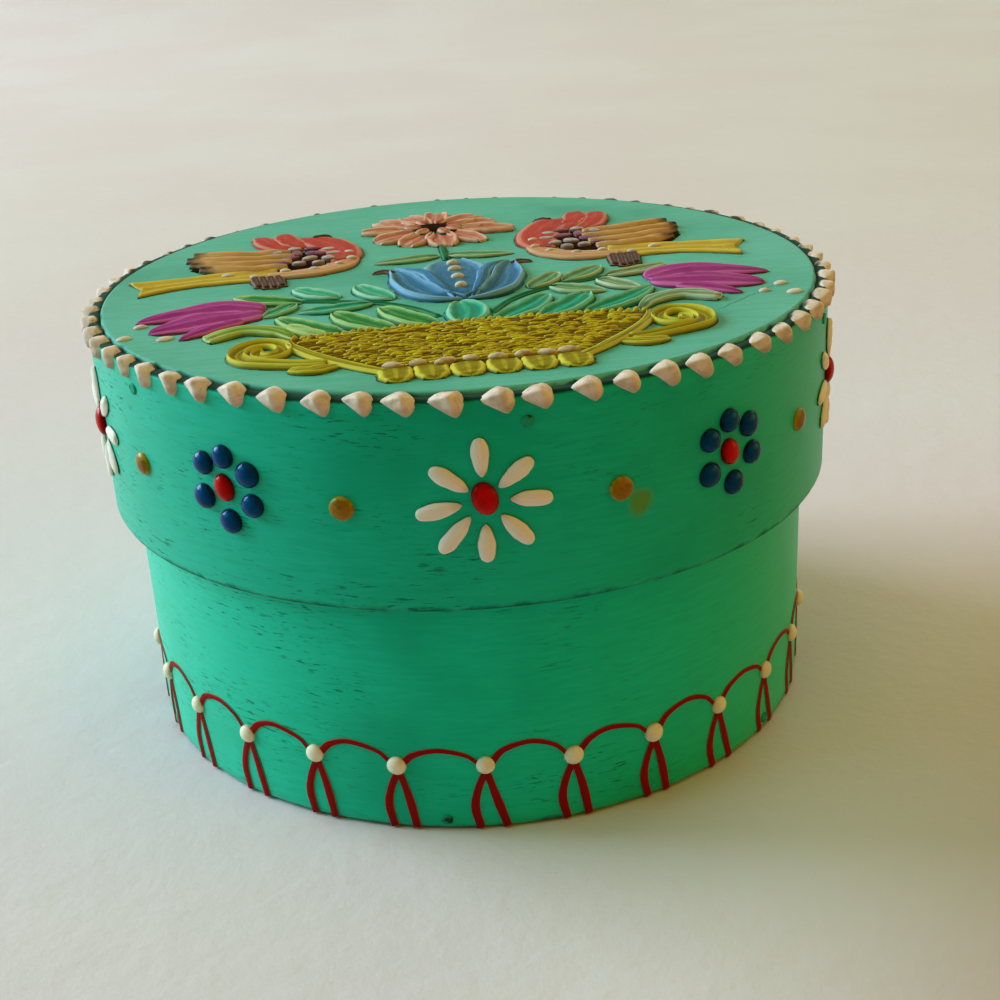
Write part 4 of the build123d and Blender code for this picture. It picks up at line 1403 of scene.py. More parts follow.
@dataclass
class RimBeads:
    """Cream drops of thick paint along the lid's top outer edge. Sizes in millimetres."""

    first: float = radians(-0.1)
    inset: float = 0.3
    drop: float = 0.75
    tilt: float = -0.008
    height: float = 1.35
    depth: float = 1.6
    lean: float = radians(38.0)
    rings: int = 7
    around: int = 18
    fine: int = 40
    outline: tuple[Point, ...] = (
        (-2.35, 0.3), (-1.2, 1.1), (0.15, 1.55), (1.35, 1.2), (1.95, 0.25), (1.7, -0.8),
        (0.9, -1.55), (-0.1, -1.15), (-1.3, -0.35),
    )

    def build(self, shop: Shop) -> None:
        """Make all beads."""
        shop.copies(
            "rim_beads_painted", [self.bead(seed) for seed in (1, 2, 3)], CREAM, "lid",
            "rim_beads", count=BEAD_COUNT, radius=LID_RADIUS - self.inset * MM,
            centre=(0.0, 0.0, LID_TOP - self.drop * MM), first_angle=self.first,
            angle_jitter=0.010, height_jitter=0.10 * MM, spin_jitter=0.14, least_scale=0.86,
            tilt=self.tilt, seed=11,
        )

    def bead(self, seed: int) -> Shell:
        """One drop: a pointed outline to the left, rising to an apex, closed at the back."""
        random = np.random.default_rng(seed)
        corners = np.array(self.outline) * random.uniform(0.93, 1.05, (len(self.outline), 1))
        wrapped = np.vstack([corners[-2:], corners, corners[:3]])
        curve = smooth_path([tuple(point) for point in wrapped], self.fine * (len(wrapped) - 1) + 1)
        loop = curve[2 * self.fine:][:self.fine * len(corners)]
        rim = loop[np.linspace(0, len(loop), self.around, endpoint=False).astype(int)]
        apex = np.array([random.uniform(0.1, 0.5), random.uniform(0.0, 0.25)])
        share = np.linspace(0, 1, self.rings + 1)[1:]
        layers = [apex + (rim - apex) * part ** 0.92 for part in share]
        layers.append(apex + (rim - apex) * 0.9)
        levels = [self.height * (1 - part ** 1.5) for part in share] + [-self.depth]
        flat = np.concatenate([[apex], *layers, [apex]])
        out = np.concatenate([[self.height], np.repeat(levels, self.around), [-self.depth]])
        out = out + 0.07 * np.sin(flat[:, 0] * 3.1 + seed) * np.cos(flat[:, 1] * 3.7 - seed)
        c, s = cos(self.lean), sin(self.lean)
        points = np.stack([flat[:, 0], flat[:, 1] * s - out * c, flat[:, 1] * c + out * s], -1)
        faces = dome_faces(1, self.rings + 1, self.around, 0, len(flat) - 1)
        chart = np.stack([(flat[:, 0] + 2.4) / 4.5, (1.5 - flat[:, 1]) / 3.1], -1)
        clockwise = [(face[0], *face[:0:-1]) for face in faces]
        return Shell(points * MM, clockwise, np.clip(chart, 0, 1))


@dataclass
class RimFlowers:
    """White and blue flowers in turn round the lid's rim, with ochre dots between.

    Sizes are in millimetres. Petals are given by turn, distance and length, and blue dots by
    turn, distance and width, with turns in degrees.
    """

    pairs: int = 5
    white_angle: float = radians(-2.1)
    blue_angle: float = radians(33.8)
    ochre_angle: float = radians(-20.2)
    height: float = 45.9
    blue_height: float = 45.6
    ochre_height: float = 45.0
    petals: tuple[Triple, ...] = (
        (92, 5.0, 4.6), (38, 4.6, 4.9), (-4, 5.3, 4.8), (-48, 5.2, 5.0),
        (-90, 5.3, 4.6), (-130, 5.3, 5.5), (-168, 5.2, 5.3), (146, 4.5, 5.0),
    )
    dots: tuple[Triple, ...] = (
        (88, 3.9, 2.95), (33, 4.2, 3.2), (-21, 4.2, 3.0), (-83, 4.2, 3.1), (-151, 3.8, 3.15),
        (141, 3.9, 2.95),
    )

    def build(self, shop: Shop) -> None:
        """Make the white flowers, the blue flowers, their hearts and the ochre dots."""
        white = {"first_angle": self.white_angle, "spin_jitter": 0.05, "seed": 4}
        blue = {"first_angle": self.blue_angle, "spin_jitter": 0.08, "seed": 8}
        self.copies(
            shop, "white_flowers", [self.petal(i, *row) for i, row in enumerate(self.petals)],
            PETAL, "white_petals", self.height, **white,
        )
        self.copies(
            shop, "blue_flowers", [self.dot(*row) for row in self.dots],
            BLUE, "blue_petals", self.blue_height, **blue,
        )
        self.copies(
            shop, "white_flower_hearts", [Dot(0.1, 0.1, 3.1, 1.05, length=4.1, turn=106)],
            RED, "flower_centres", self.height, **white,
        )
        self.copies(
            shop, "blue_flower_hearts", [Dot(0, 0, 2.8, 1.0, length=3.5, turn=105)],
            RED, "flower_centres", self.blue_height, **blue,
        )
        self.copies(
            shop, "ochre_drops", [Dot(0, 0, 3.05, 0.75)], OCHRE, "ochre_dots", self.ochre_height,
            rounds=2, first_angle=self.ochre_angle, height_jitter=0.35 * MM, angle_jitter=0.01,
            least_scale=0.92, seed=2,
        )

    def copies(
        self, shop: Shop, name: str, parts: list[Stroke | Dot], finish: Finish, node: str,
        height: float, rounds: int = 1, **values: Any,
    ) -> None:
        """Make one piece of flowers, hearts or dots, all at one height of the rim."""
        shape = Shell.joined([part.shell(Wall(LID_RADIUS)) for part in parts])
        shop.copies(
            name, [shape], finish, "lid", node, count=rounds * self.pairs, radius=LID_RADIUS,
            centre=(0.0, 0.0, height * MM), **values,
        )

    def petal(self, seed: int, turn: float, distance: float, length: float) -> Stroke:
        """One white petal: a long drop, wide at its outer end."""
        way = (cos(radians(turn)), sin(radians(turn)))
        near, far = distance - length / 2, distance + length / 2
        path = [(near * way[0], near * way[1]), (far * way[0], far * way[1])]
        return Stroke(
            path, 2.1, 0.6, start_power=0.62, tip_power=0.38, rim=0, fringe=0, rows=20,
            columns=13, seed=seed, sink=0.35,
        )

    def dot(self, turn: float, distance: float, width: float) -> Dot:
        """One blue dot."""
        x, y = distance * cos(radians(turn)), distance * sin(radians(turn))
        return Dot(x, y, width, 1.0, rings=8, around=22)


@dataclass
class Basket:
    """The basket at the front of the picture. Sizes in millimetres.

    Its beads are given by their place across the basket and their length.
    """

    rim_half: float = 22.2
    rim_y: float = -24.0
    rim_sag: float = 1.6
    base_half: float = 11.2
    base_y: float = -40.3
    foot_y: float = -43.4
    rise: float = 0.75
    coils: int = 20
    wave: float = 0.06
    grid_columns: int = 61
    dash_columns: int = 26
    lobes: int = 6
    lobe_reach: float = 10.2
    seed: int = 7
    eye: Point = (24.9, -29.4)
    beads: tuple[Point, ...] = (
        (-10.4, 2.6), (-7.5, 2.2), (-4.4, 2.8), (-1.5, 2.1), (1.6, 2.5), (4.5, 2.2), (7.3, 2.5),
        (9.8, 2.8),
    )

    def build(self, shop: Shop) -> None:
        """Make the bowl with its dashes, the foot, the handles and the beads."""
        paint = BasketPaint(self.coils)
        piece("basket_bowl_painted", self.bowl().mesh("bowl"), paint, "lid", "basket_bowl")
        dash = Dot(0, 0, 0.46, 0.24, length=2.0, rings=3, around=8, sink=0.2)
        shape = template(dash.shell(Flat()))
        mesh = shop.dashes.run({
            "Shape": shape, "Rows": self.coils, "Columns": self.dash_columns,
            "Rim Half": (self.rim_half - 0.8) * MM, "Base Half": (self.base_half - 0.6) * MM,
            "Rim Y": (self.rim_y - 0.6) * MM, "Base Y": (self.base_y + 0.9) * MM,
            "Sag": self.rim_sag * MM, "Crown": (self.rise - 0.05) * MM,
            "Ground": LidTop().spot(0.0, 0.0), "Lean": LidTop().lean, "Finish": DASH.material(),
        })
        bpy.data.objects.remove(shape)
        piece("basket_weave", mesh, DASH, "lid", "basket_bowl")
        random = np.random.default_rng(self.seed)
        rim = [
            Dot(x, self.edge(x) + random.uniform(-0.2, 0.2), 0.7, random.uniform(0.35, 0.6),
                length=1.5, turn=58, lift=0.3, sink=0.3, rings=4, around=10)
            for x in np.arange(-21.4, 21.8, 1.0)
        ]
        strokes("basket_rim", rim, DASH, "basket_bowl")
        side = Stroke(
            [(22.2, -25.8), (21.4, -28.8), (18.5, -33.2), (14.3, -37.7), (11.2, -40.4)],
            1.3, 0.85, widths=[0.7, 1.0, 1.0, 0.9, 0.8], rim=0.5, rows=40, columns=11,
        )
        strokes("basket_edges", pair(side), YELLOW, "basket_bowl")
        lobes = [
            Stroke([(x, self.base_y + 0.3), (x, self.foot_y)], 4.2, 0.7,
                   widths=[1.0, 1.0, 1.0, 0.92, 0.6], rim=0.5, rows=14, columns=15, seed=i,
                   hollow=0.7, rib=0)
            for i, x in enumerate(np.linspace(-self.lobe_reach, self.lobe_reach, self.lobes))
        ]
        strokes("basket_foot_painted", lobes, YELLOW, "basket_foot")
        strokes("basket_scrolls", pair(self.scroll(), self.toe()), YELLOW, "basket_handles")
        beads = [
            Dot(x, self.base_y + 0.9 + 0.25 * (index % 2), 1.35, 0.55, length=size, lift=0.55,
                turn=14 * (index % 3 - 1), sink=0.4)
            for index, (x, size) in enumerate(self.beads)
        ]
        strokes("basket_pearls", beads, PEARL, "basket_beads")

    def edge(self, x: float) -> float:
        """Where the rim lies, at a place across the basket."""
        return self.rim_y - self.rim_sag * (x / self.rim_half) ** 2

    def bowl(self) -> Shell:
        """The bowl's ground: a crowned slab with faint coils."""
        down = np.linspace(0, 1, 4 * self.coils)[:, None]
        across = np.linspace(-1, 1, self.grid_columns)[None, :]
        narrow = BOWL_STRAIGHT * down + BOWL_CURVED * down ** BOWL_POWER
        x = across * (self.rim_half + (self.base_half - self.rim_half) * narrow)
        sag = self.rim_sag * across ** 2 * (1 - down)
        y = np.broadcast_to(self.rim_y + (self.base_y - self.rim_y) * down, x.shape) - sag
        edge = np.minimum(1 - np.abs(across), np.minimum(down, 1 - down) * 1.2)
        round_off = np.clip(edge / 0.05, 0, 1) ** 0.5
        coil = self.wave * np.cos(down * self.coils * 2 * pi + 0.5 * np.sin(across * 9))
        bulge = 1 - BOWL_SIDES * across ** 2 - BOWL_ENDS * (down - BOWL_MIDDLE) ** 2
        crown = self.rise * bulge + coil - self.wave
        top = LidTop().place(x * MM, y * MM, crown * round_off * MM)
        bottom = LidTop().place(x * MM, y * MM, np.full_like(x, -0.2 * MM))
        return slab(top, bottom, np.stack(np.broadcast_arrays(down, (across + 1) / 2), -1))

    def scroll(self) -> Stroke:
        """The curled handle: from the bowl outwards, round and into its own eye."""
        turns = np.linspace(radians(-80), radians(420), 18)
        reach = np.interp(turns, np.radians([-80, 90, 230, 420]), [3.7, 2.9, 1.9, 0.5])
        x, y = self.eye
        curl = [(x + r * cos(a), y + 1.12 * r * sin(a)) for a, r in zip(turns, reach)]
        path = [(17.8, -35.6), (21.4, -35.0)] + curl
        widths = [0.7, 0.85, 1.0, 1.05, 1.05, 1.0, 0.95, 0.85, 0.8, 0.75, 0.7, 0.65, 0.5]
        return Stroke(
            path, 2.35, 0.85, widths=widths, hollow=0.3, rib=0.1, rows=130, columns=15, seed=2
        )

    def toe(self) -> Stroke:
        """The small lobe where the handle meets the bowl."""
        path = [(16.4, -36.4), (19.4, -37.4), (22.2, -36.6)]
        return Stroke(path, 2.0, 0.7, start_power=0.4, tip_power=0.4, rim=0.6, seed=6)


Leaf = tuple[LeafTone, Point, Point, float]


@dataclass
class Leaves:
    """All the leaves and stems of the picture. Sizes in millimetres.

    A leaf is given by its tone, its start, its tip and its width.
    """

    basket: tuple[Leaf, ...] = (
        (LeafTone.GREEN, (-15.4, -24.4), (-23.6, -14.9), 3.9),
        (LeafTone.GREEN, (-9.2, -24.6), (-16.5, -14.6), 4.4),
        (LeafTone.GREEN, (-3.9, -24.0), (-10.4, -13.8), 4.2),
        (LeafTone.TEAL, (-0.5, -24.2), (-0.2, -14.0), 5.8),
        (LeafTone.TEAL, (3.2, -24.4), (11.4, -14.2), 4.4),
        (LeafTone.TEAL, (8.6, -24.6), (16.6, -14.5), 4.5),
        (LeafTone.TEAL, (14.4, -24.2), (25.0, -14.5), 3.9),
        (LeafTone.LIME, (-17.4, -25.0), (-22.4, -18.6), 2.4),
    )
    sprays: tuple[Leaf, ...] = (
        (LeafTone.MINT, (-15.4, -7.6), (-21.4, -1.4), 3.8),
        (LeafTone.MINT, (-8.5, -10.4), (-12.9, -2.2), 4.0),
        (LeafTone.GREEN, (-20.4, -8.4), (-29.4, -3.4), 3.8),
        (LeafTone.MINT, (-21.3, -9.0), (-25.4, -14.0), 2.8),
        (LeafTone.TEAL, (-11.2, -11.5), (-20.8, -13.1), 3.2),
        (LeafTone.OLIVE, (9.5, -10.4), (14.2, -3.8), 3.5),
        (LeafTone.OLIVE, (14.3, -8.4), (20.4, -2.2), 3.7),
        (LeafTone.PALE, (20.2, -7.6), (29.2, -4.0), 3.2),
        (LeafTone.OLIVE, (12.2, -10.6), (18.9, -14.6), 3.8),
        (LeafTone.PALE, (19.0, -8.8), (23.6, -15.0), 3.4),
    )
    bow: float = 0.07

    def build(self) -> None:
        """Make the leaves tone by tone, then the long rim leaves and the stems."""
        for tone in LeafTone:
            for name, rows, rise, seed in (
                ("basket_leaves", self.basket, 0.8, 0), ("spray_leaves", self.sprays, 0.6, 30)
            ):
                leaves = [
                    self.leaf(*row[1:], rise, seed + i)
                    for i, row in enumerate(rows) if row[0] is tone
                ]
                if leaves:
                    strokes(f"{name}_{tone.name.lower()}", leaves, tone.finish, name)
        long = Stroke(
            [(21.4, -24.4), (23.6, -21.2), (27.8, -19.6), (32.0, -22.2)], 2.9, 0.95,
            widths=[0.35, 0.6, 0.85, 1.0, 1.05, 1.05, 0.75], rim=0.35, rows=36, rib=0,
        )
        strokes("rim_leaf_left", [long.mirrored()], LeafTone.LIME.finish, "rim_leaves")
        strokes("rim_leaf_right", [long], LeafTone.PALE.finish, "rim_leaves")
        stem = Stroke(
            [(27.4, -6.6), (19.0, -8.2), (11.0, -11.3), (6.4, -15.0), (3.4, -19.6)], 0.8, 0.35,
            widths=[0.5, 0.8, 1.0, 1.1, 1.2], rim=0, rows=40, columns=9,
        )
        strokes("spray_stems_painted", pair(stem), LeafTone.STEM.finish, "spray_stems")

    def leaf(self, start: Point, tip: Point, width: float, rise: float, seed: int) -> Stroke:
        """One leaf, slightly bowed."""
        bow = self.bow if tip[0] > start[0] else -self.bow
        middle = (
            (start[0] + tip[0]) / 2 + bow * (tip[1] - start[1]),
            (start[1] + tip[1]) / 2 - bow * (tip[0] - start[0]),
        )
        return Stroke(
            [start, middle, tip], width, rise, start_power=0.5, tip_power=0.6, seed=seed,
            hollow=0.42, rib=0.22,
        )


@dataclass
class Tulips:
    """The blue tulip in the middle and the purple ones at the sides. Sizes in millimetres."""

    axis: float = 0.7
    pearls: tuple[Point, ...] = ((3.8, 1.7), (0.5, 2.0), (-3.5, 1.9), (-7.8, 1.7))
    seeds: tuple[Triple, ...] = (
        (41.2, -17.8, 1.8), (41.8, -22.0, 2.1), (38.3, -20.5, 1.5),
        (-40.8, -13.4, 1.7), (-42.4, -18.0, 1.8), (-37.3, -19.5, 2.1),
    )

    def build(self) -> None:
        """Make both kinds with their dots."""
        x = self.axis
        middle = Stroke(
            [(x, -12.8), (x, -3.0), (x, 6.4)], 9.8, 0.8,
            widths=[0.2, 0.6, 0.85, 1.0, 1.0, 0.85, 0.45], hollow=0.6, rib=0.1, rows=36,
            columns=25,
        )
        side = Stroke(
            [(x + 0.2, -12.9), (x + 4.2, -10.6), (x + 6.6, -4.8), (x + 7.4, 0.4), (x + 8.4, 4.2)],
            5.0, 1.0, widths=[0.3, 0.75, 1.0, 1.0, 0.85, 0.55, 0.2], hollow=0.3, rib=0, rows=40,
        )
        fold = Stroke(
            [(x + 1.2, -12.2), (x + 3.0, -6.0), (x + 4.2, -0.4), (x + 7.4, 3.6)], 2.0, 1.05,
            widths=[0.4, 0.9, 1.0, 0.9, 0.3], rim=0, rows=34, columns=13, seed=4,
        )
        parts = [middle] + pair(side, fold, axis=x)
        strokes("blue_tulip_painted", parts, TULIP_BLUE, "blue_tulip")
        path = [(x + 8.0, 2.6), (x + 9.4, 3.7), (x + 11.2, 3.2)]
        hook = Stroke(path, 1.1, 0.5, start_power=0.5, tip_power=0.6, rim=0, rows=14, columns=9)
        strokes("tulip_hooks", pair(hook, axis=x), BROWN, "blue_tulip")
        dots = [
            Dot(x, y, 1.25, 0.55, lift=0.55, sink=0.3, length=size, turn=8)
            for y, size in self.pearls
        ]
        strokes("tulip_pearls", dots, WHITE, "tulip_dots")
        petals = [
            Stroke([(27.6, -14.6), (31.4, -17.0), (35.4, -20.6)], 3.2, 0.7, start_power=0.45,
                   tip_power=0.55, rows=30, seed=3, rim=0.2),
            Stroke([(25.4, -12.0), (32.0, -13.4), (39.4, -16.8)], 7.4, 0.8, start_power=0.36,
                   tip_power=0.5, rows=40, columns=23, seed=2, rim=0.25),
            Stroke([(25.2, -10.8), (31.6, -8.8), (41.4, -11.8)], 6.6, 0.95, start_power=0.36,
                   tip_power=0.6, rows=40, columns=23, seed=1, hollow=0.4, rib=0.25, rim=0.25),
        ]
        strokes("purple_tulips_painted", pair(*petals), TULIP_PURPLE, "purple_tulips")
        dots = [
            Dot(x, y, size * 0.8, 0.4, length=size * 1.1, turn=20) for x, y, size in self.seeds
        ]
        strokes("tulip_seeds_painted", dots, WHITE, "tulip_seeds")


@dataclass
class Daisy:
    """The peach daisy at the back of the picture. Sizes in millimetres, lobes in degrees."""

    centre: Point = (0.2, 26.2)
    count: int = 11
    inner: float = 1.6
    outer: float = 12.2
    lobes: tuple[float, ...] = (12, 70, 118, 175, 232, 290, 330)

    def build(self, shop: Shop) -> None:
        """Make the petals, the heart, the stem and the leaves."""
        petals = [self.petal(*sizes) for sizes in ((4.2, 0.0, 1), (4.8, 0.7, 2), (5.2, 1.5, 3))]
        shop.copies(
            "daisy_petals_painted", petals, DAISY, "lid", "daisy_petals", count=self.count,
            radius=0.0, centre=LidTop().spot(*self.centre), first_angle=0.13, angle_jitter=0.08,
            least_scale=0.9, seed=6,
        )
        x, y = self.centre
        heart = Dot(x, y, 4.8, 0.35, length=6.4, lift=0.5, rings=6, around=24, turn=-12)
        strokes("daisy_heart_painted", [heart], DARK, "daisy_heart")
        ring = [
            Stroke([(x + r * cos(a), y + r * sin(a)) for r in (1.9, 4.6)], 1.9, 0.55,
                   start_power=0.5, tip_power=0.4, rim=0, lift=0.55, sink=0.5, fringe=0.1,
                   rows=14, columns=11, seed=index)
            for index, a in enumerate(np.radians(self.lobes))
        ]
        strokes("daisy_lobes", ring, DAISY, "daisy_petals")
        path = [(0.6, 10.3), (5.0, 9.0), (10.0, 8.6)]
        leaf = Stroke(path, 3.0, 0.5, start_power=0.5, tip_power=0.7)
        strokes("daisy_leaves_painted", pair(leaf), LeafTone.OLIVE.finish, "daisy_leaves")
        path = [(0.3, 7.8), (0.3, 16.2)]
        stem = Stroke(path, 1.0, 0.4, widths=[1, 1, 0.8], rim=0, rows=12, columns=9)
        strokes("daisy_stem_painted", [stem], LeafTone.STEM.finish, "daisy_stem")

    def petal(self, width: float, cut: float, seed: int) -> Shell:
        """One blunt petal towards the front, about the daisy's centre."""
        stroke = Stroke(
            [(0, -self.inner), (0, cut - self.outer)], width, 0.85,
            widths=[0.3, 0.55, 0.8, 0.95, 1.0, 1.0, 0.9, 0.55], hollow=0.4, rib=0.25, rows=30,
            columns=17, seed=seed, fringe=0.15, waver=0.08,
        )
        return stroke.shell(Flat())


@dataclass
class Birds:
    """The two birds that face each other. Sizes in millimetres, for the right-hand bird.

    Lumps are given by place, size and tone (0 pale, 1 purple), and spots by place and length.
    """

    feathers: tuple[tuple[Point, Point, Point], ...] = (
        ((22.0, 7.9), (27.4, 8.0), (33.6, 10.4)),
        ((21.4, 10.9), (28.4, 11.2), (35.0, 13.6)),
        ((21.0, 13.9), (29.0, 14.4), (35.6, 16.8)),
        ((21.6, 16.9), (28.6, 17.6), (34.8, 19.8)),
    )
    lumps: tuple[tuple[float, float, float, int], ...] = (
        (16.2, 16.6, 1.5, 0), (18.4, 17.8, 1.4, 1), (20.9, 18.2, 1.5, 0), (15.6, 13.8, 1.6, 0),
        (18.0, 14.6, 1.9, 1), (20.6, 15.2, 1.7, 1), (23.2, 16.4, 1.5, 0), (16.4, 10.9, 1.5, 0),
        (18.9, 11.6, 1.7, 0), (21.6, 12.2, 1.7, 1), (17.8, 8.6, 1.3, 0), (20.4, 8.9, 1.4, 0),
        (22.8, 9.6, 1.3, 1),
    )
    spots: tuple[Triple, ...] = (
        (13.5, 13.4, 1.5), (13.3, 9.6, 1.5), (15.0, 6.6, 1.3), (18.4, 4.4, 1.5),
        (22.2, 4.6, 1.6), (26.2, 3.4, 1.5), (29.8, 5.4, 1.8),
    )
    toes: tuple[Point, ...] = ((23.2, -2.6), (24.2, -3.4), (25.2, -3.2), (26.2, -2.4))

    def build(self) -> None:
        """Make each part of both birds, from the lowest layer up."""
        tail = Stroke(
            [(23.4, 4.6), (31.0, 4.4), (36.6, 3.4), (41.8, 1.8)], 8.0, 0.55,
            widths=[0.75, 0.74, 0.70, 0.72, 0.85, 1.0], notch=1.2, rows=44, rib=0.3,
        )
        strokes("bird_tails_painted", self.both(tail), BIRD_TAIL, "bird_tails")
        ground = Stroke(
            [(17.0, 12.4), (24.0, 12.4), (29.0, 13.2), (33.8, 15.2)], 12.0, 0.4,
            widths=[0.7, 0.95, 1.0, 1.0, 0.95, 0.6], rim=0, rows=40, columns=21,
        )
        strokes("bird_wing_grounds", self.both(ground), DARK, "bird_wings")
        belly = Stroke(
            [(12.9, 10.6), (14.9, 6.4), (18.8, 3.8), (24.4, 3.4)], 4.0, 0.75,
            widths=[0.5, 0.9, 1.0, 0.95, 0.6], rim=0.3, rows=40, rib=0,
        )
        strokes("bird_bellies", self.both(belly), BIRD_BELLY, "bird_breasts")
        breast = Stroke(
            [(20.2, 25.6), (17.4, 22.6), (15.2, 18.2), (14.2, 13.4), (14.4, 9.4)], 7.0, 0.8,
            widths=[0.5, 0.9, 1.0, 0.95, 0.85, 0.55], rim=0.3, hollow=0.7, rows=44, rib=0,
        )
        strokes(
            "bird_breasts_painted", self.both(breast), BIRD_RED, "bird_heads", "bird_breasts"
        )
        crest = [
            Stroke(path, 4.4, rise, widths=[0.5, 0.9, 1.0, 0.95, end], rim=0.5, hollow=0.6,
                   rows=30, rib=0, seed=seed)
            for path, rise, end, seed in (
                ([(19.6, 19.4), (21.8, 24.6), (22.6, 29.8)], 0.8, 0.6, 0),
                ([(21.8, 18.8), (24.2, 23.2), (26.0, 28.8)], 0.75, 0.55, 2),
            )
        ]
        strokes("bird_crests_painted", self.both(*crest), BIRD_RED, "bird_crests")
        wing = [
            Stroke(list(row), 2.5, 0.9, widths=[0.6, 0.85, 0.9, 1.0, 0.95, 0.5], rim=0,
                   fringe=0.1, lift=0.1, rows=34, columns=13, seed=index)
            for index, row in enumerate(self.feathers)
        ]
        strokes("bird_wings_painted", self.both(*wing), BIRD_WING, "bird_wings")
        for tone, (name, paint) in enumerate((("pale", NECK_PALE), ("purple", NECK_PURPLE))):
            lumps = [self.lump(*row) for row in self.lumps if row[3] == tone]
            strokes(f"bird_necks_{name}", self.both(*lumps), paint, "bird_necks")
        legs = [
            Stroke([(x, 2.6), (x - 0.6, low)], 1.6, 0.6, widths=[1.0, 1.0, 0.85, 0.8], rim=0.3,
                   rows=14, columns=11)
            for x, low in self.toes
        ]
        path = [(18.4, 25.4), (17.0, 26.2), (15.6, 26.9)]
        beak = Stroke(path, 0.9, 0.8, start_power=0.4, tip_power=0.9, rim=0, rows=14, columns=9)
        strokes("bird_legs_and_beaks", self.both(*legs, beak), BROWN, "bird_legs")
        dots = [
            Dot(x, y, size * 0.62, 0.35, length=size, turn=10, lift=0.55 if x < 25 else 0.3,
                sink=0.4)
            for x, y, size in self.spots
        ]
        strokes("bird_spots", self.both(*dots), WHITE)

    def lump(self, x: float, y: float, size: float, tone: int) -> Dot:
        """One of the lumps on the bird's shoulder; the purple ones are longer."""
        turn = 12 + 70 * sin(7.0 * x + 3.0 * y)
        length = size * (1.5 + 0.4 * tone)
        return Dot(x, y, size * 0.95, 0.32, length=length, turn=turn, lift=0.5, sink=0.4, rings=5)

    def both(self, *parts: Stroke | Dot) -> list[Stroke | Dot]:
        """Parts for the right-hand bird and for the left-hand one, which is a little flatter."""
        left = []
        for part in parts:
            if isinstance(part, Dot):
                (x, y), = self.across([(part.x, part.y)])
                left.append(replace(part, x=x, y=y, turn=-part.turn))
            else:
                path, width = self.across(part.path), 0.94 * part.width
                left.append(replace(part, path=path, width=width, seed=part.seed + 71))
        return [*parts, *left]

    def across(self, path: list[Point]) -> list[Point]:
        """Points of the right-hand bird carried over to the left-hand one."""
        return [(-x - 1.0 + 0.06 * (34.0 - x), y + 0.1 * (30.0 - y)) for x, y in path]


def turned(first: Vector, second: Vector, angle: float) -> tuple[Vector, Vector]:
    """Two axes turned in their own plane, the first towards the second."""
    c, s = cos(angle), sin(angle)
    return first * c + second * s, second * c - first * s


@dataclass(frozen=True)
class Light:
    """An area light that faces the box, with its place and size in metres and power in watts."""

    name: str
    place: Triple
    size: Point
    power: float
    colour: Colour

    def build(self) -> None:
        """Put the light in the scene."""
        data = bpy.data.lights.new(self.name, "AREA")
        data.shape = "RECTANGLE"
        data.size, data.size_y = self.size
        data.energy = self.power
        data.color = self.colour
        light = bpy.data.objects.new(self.name, data)
        aim = Vector((0, 0, 0.03)) - Vector(self.place)
        facing = aim.to_track_quat("-Z", "Y").to_matrix().to_4x4()
        light.matrix_world = Matrix.Translation(self.place) @ facing
        bpy.context.scene.collection.objects.link(light)


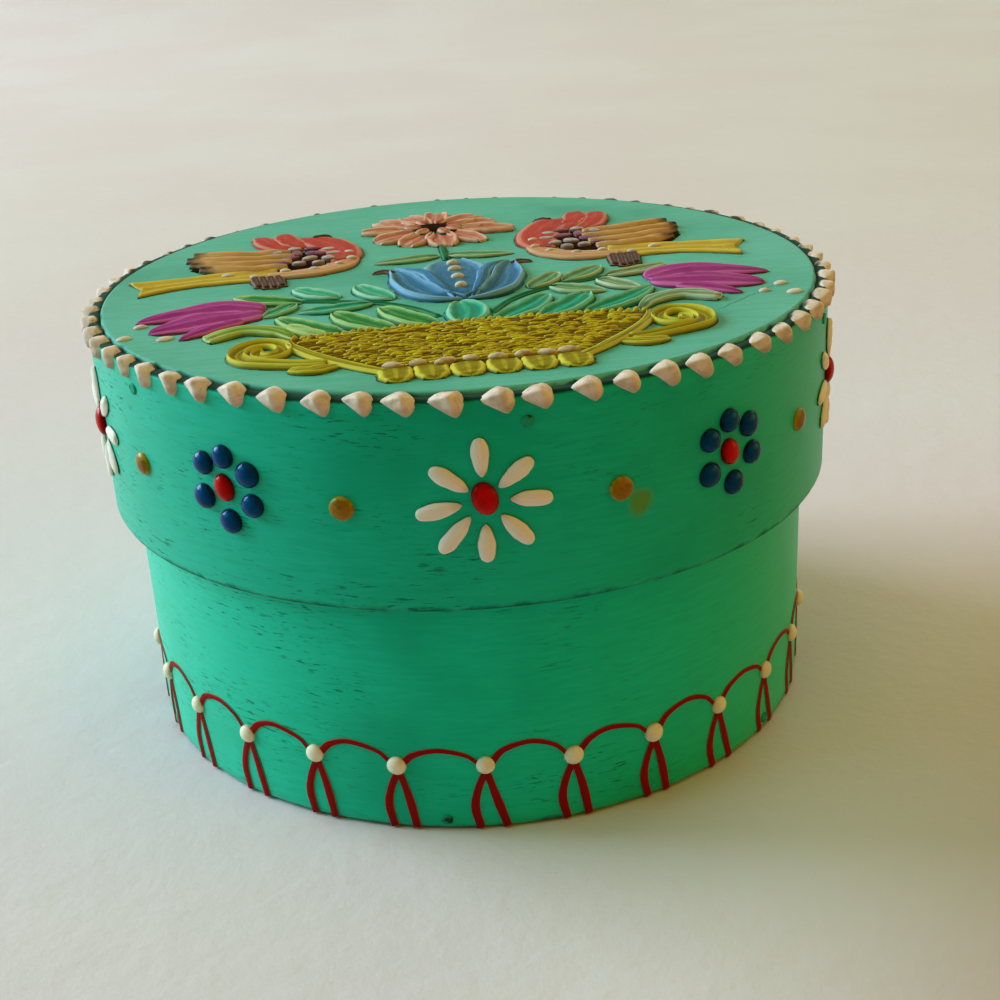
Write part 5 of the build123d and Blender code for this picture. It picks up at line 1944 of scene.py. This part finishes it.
@dataclass
class Studio:
    """Floor, lights and the camera of the photograph's view, with distances in lid radii."""

    focal_px: float = 1500.67
    image_px: float = 1000.0
    distance: float = 4.393
    elevation: float = radians(23.345)
    roll: float = radians(-3.583)
    yaw: float = radians(1.056)
    pitch: float = radians(-0.274)
    turn: float = radians(-3.6)
    target_height: float = 0.5
    ambient: Colour = (0.1, 0.098, 0.015)
    surroundings: Colour = (0.56, 0.52, 0.44)
    lights: tuple[Light, ...] = (
        Light("window", (-1.95, 1.0, 1.05), (1.45, 1.2), 77.0, (0.7, 0.77, 1.0)),
        Light("sky", (-1.6, 0.0, 0.8), (1.1, 0.9), 11.5, (0.15, 0.8, 1.0)),
        Light("room", (1.6, -0.3, 0.6), (1.2, 0.8), 4.0, (1.0, 0.85, 0.1)),
        Light("lamp", (1.1, -1.3, 0.8), (1.2, 0.8), 4.0, (1.0, 0.25, 0.02)),
        Light("back", (0.9, 1.2, 0.9), (1.0, 0.8), 5.6, (0.74, 0.98, 1.0)),
        Light("ceiling", (0.0, 0.0, 1.7), (1.6, 1.6), 8.0, (1.0, 0.86, 0.36)),
    )

    def build(self) -> None:
        """Set up the whole studio."""
        self.camera()
        self.floor()
        for light in self.lights:
            light.build()
        self.world()
        bpy.context.scene.view_settings.view_transform = "Standard"

    def camera(self) -> None:
        """The camera, from the distance and angles of the photograph."""
        back = Vector((0, -cos(self.elevation), sin(self.elevation)))
        eye = (Vector((0, 0, self.target_height)) + back * self.distance) * LID_RADIUS
        ahead, right = -back, Vector((1, 0, 0))
        up = right.cross(ahead)
        ahead, right = turned(ahead, right, self.yaw)
        ahead, up = turned(ahead, up, self.pitch)
        right, up = turned(right, up, self.roll)
        pose = Matrix((right, up, -ahead)).transposed().to_4x4()
        pose.translation = eye
        data = bpy.data.cameras.new("camera")
        data.lens = self.focal_px / self.image_px * data.sensor_width
        data.clip_start = 1 * MM
        camera = bpy.data.objects.new("camera", data)
        camera.matrix_world = Matrix.Rotation(self.turn, 4, "Z") @ pose
        bpy.context.scene.collection.objects.link(camera)
        bpy.context.scene.camera = camera

    def floor(self) -> None:
        """A floor that curves up into a backdrop, in metres."""
        reach, wall, bend = 3.5, 1.7, 0.9
        steps = np.linspace(0, pi / 2, 24)
        line = [(-3.0, 0.0), (0.4, 0.0)]
        line += [(wall - bend + bend * sin(a), bend - bend * cos(a)) for a in steps]
        line += [(wall, 3.5)]
        points = [(side * reach, y, z) for y, z in line for side in (-1, 1)]
        faces = [(2 * i, 2 * i + 1, 2 * i + 3, 2 * i + 2) for i in range(len(line) - 1)]
        mesh = bpy.data.meshes.new("stage")
        mesh.from_pydata(points, [], faces)
        mesh.polygons.foreach_set("use_smooth", np.ones(len(faces), dtype=bool))
        mesh.materials.append(StageFinish().material())
        stage = bpy.data.objects.new("stage", mesh)
        bpy.context.scene.collection.objects.link(stage)

    def world(self) -> None:
        """Weak warm light all round, seen by the camera and in reflections as a pale room."""
        world = bpy.data.worlds.new("world")
        world.use_nodes = True
        graph = Graph(world.node_tree)
        path = graph.add("ShaderNodeLightPath")
        rays = ("Is Camera Ray", "Is Glossy Ray", "Is Transmission Ray")
        camera, glossy, through = (Signal(graph, path.outputs[name]) for name in rays)
        seen = graph.math("MAXIMUM", camera, graph.math("MAXIMUM", glossy, through))
        background = world.node_tree.nodes["Background"]
        colour = graph.mix(seen, self.ambient, self.surroundings)
        graph.feed(background.inputs["Color"], colour)
        background.inputs["Strength"].default_value = 1.0
        bpy.context.scene.world = world


def main() -> None:
    """Build the sub-assemblies in order."""
    logging.basicConfig(level=logging.INFO, format="%(name)s %(message)s")
    shop = Shop()
    for part in (BODY_BAND, Lacing(), LID_BAND, RimBeads(), RimFlowers(), Basket(), Daisy()):
        LOG.info("building %s", type(part).__name__)
        part.build(shop)
    for part in (Leaves(), Tulips(), Birds(), Studio()):
        LOG.info("building %s", type(part).__name__)
        part.build()


if __name__ == "__main__":
    main()
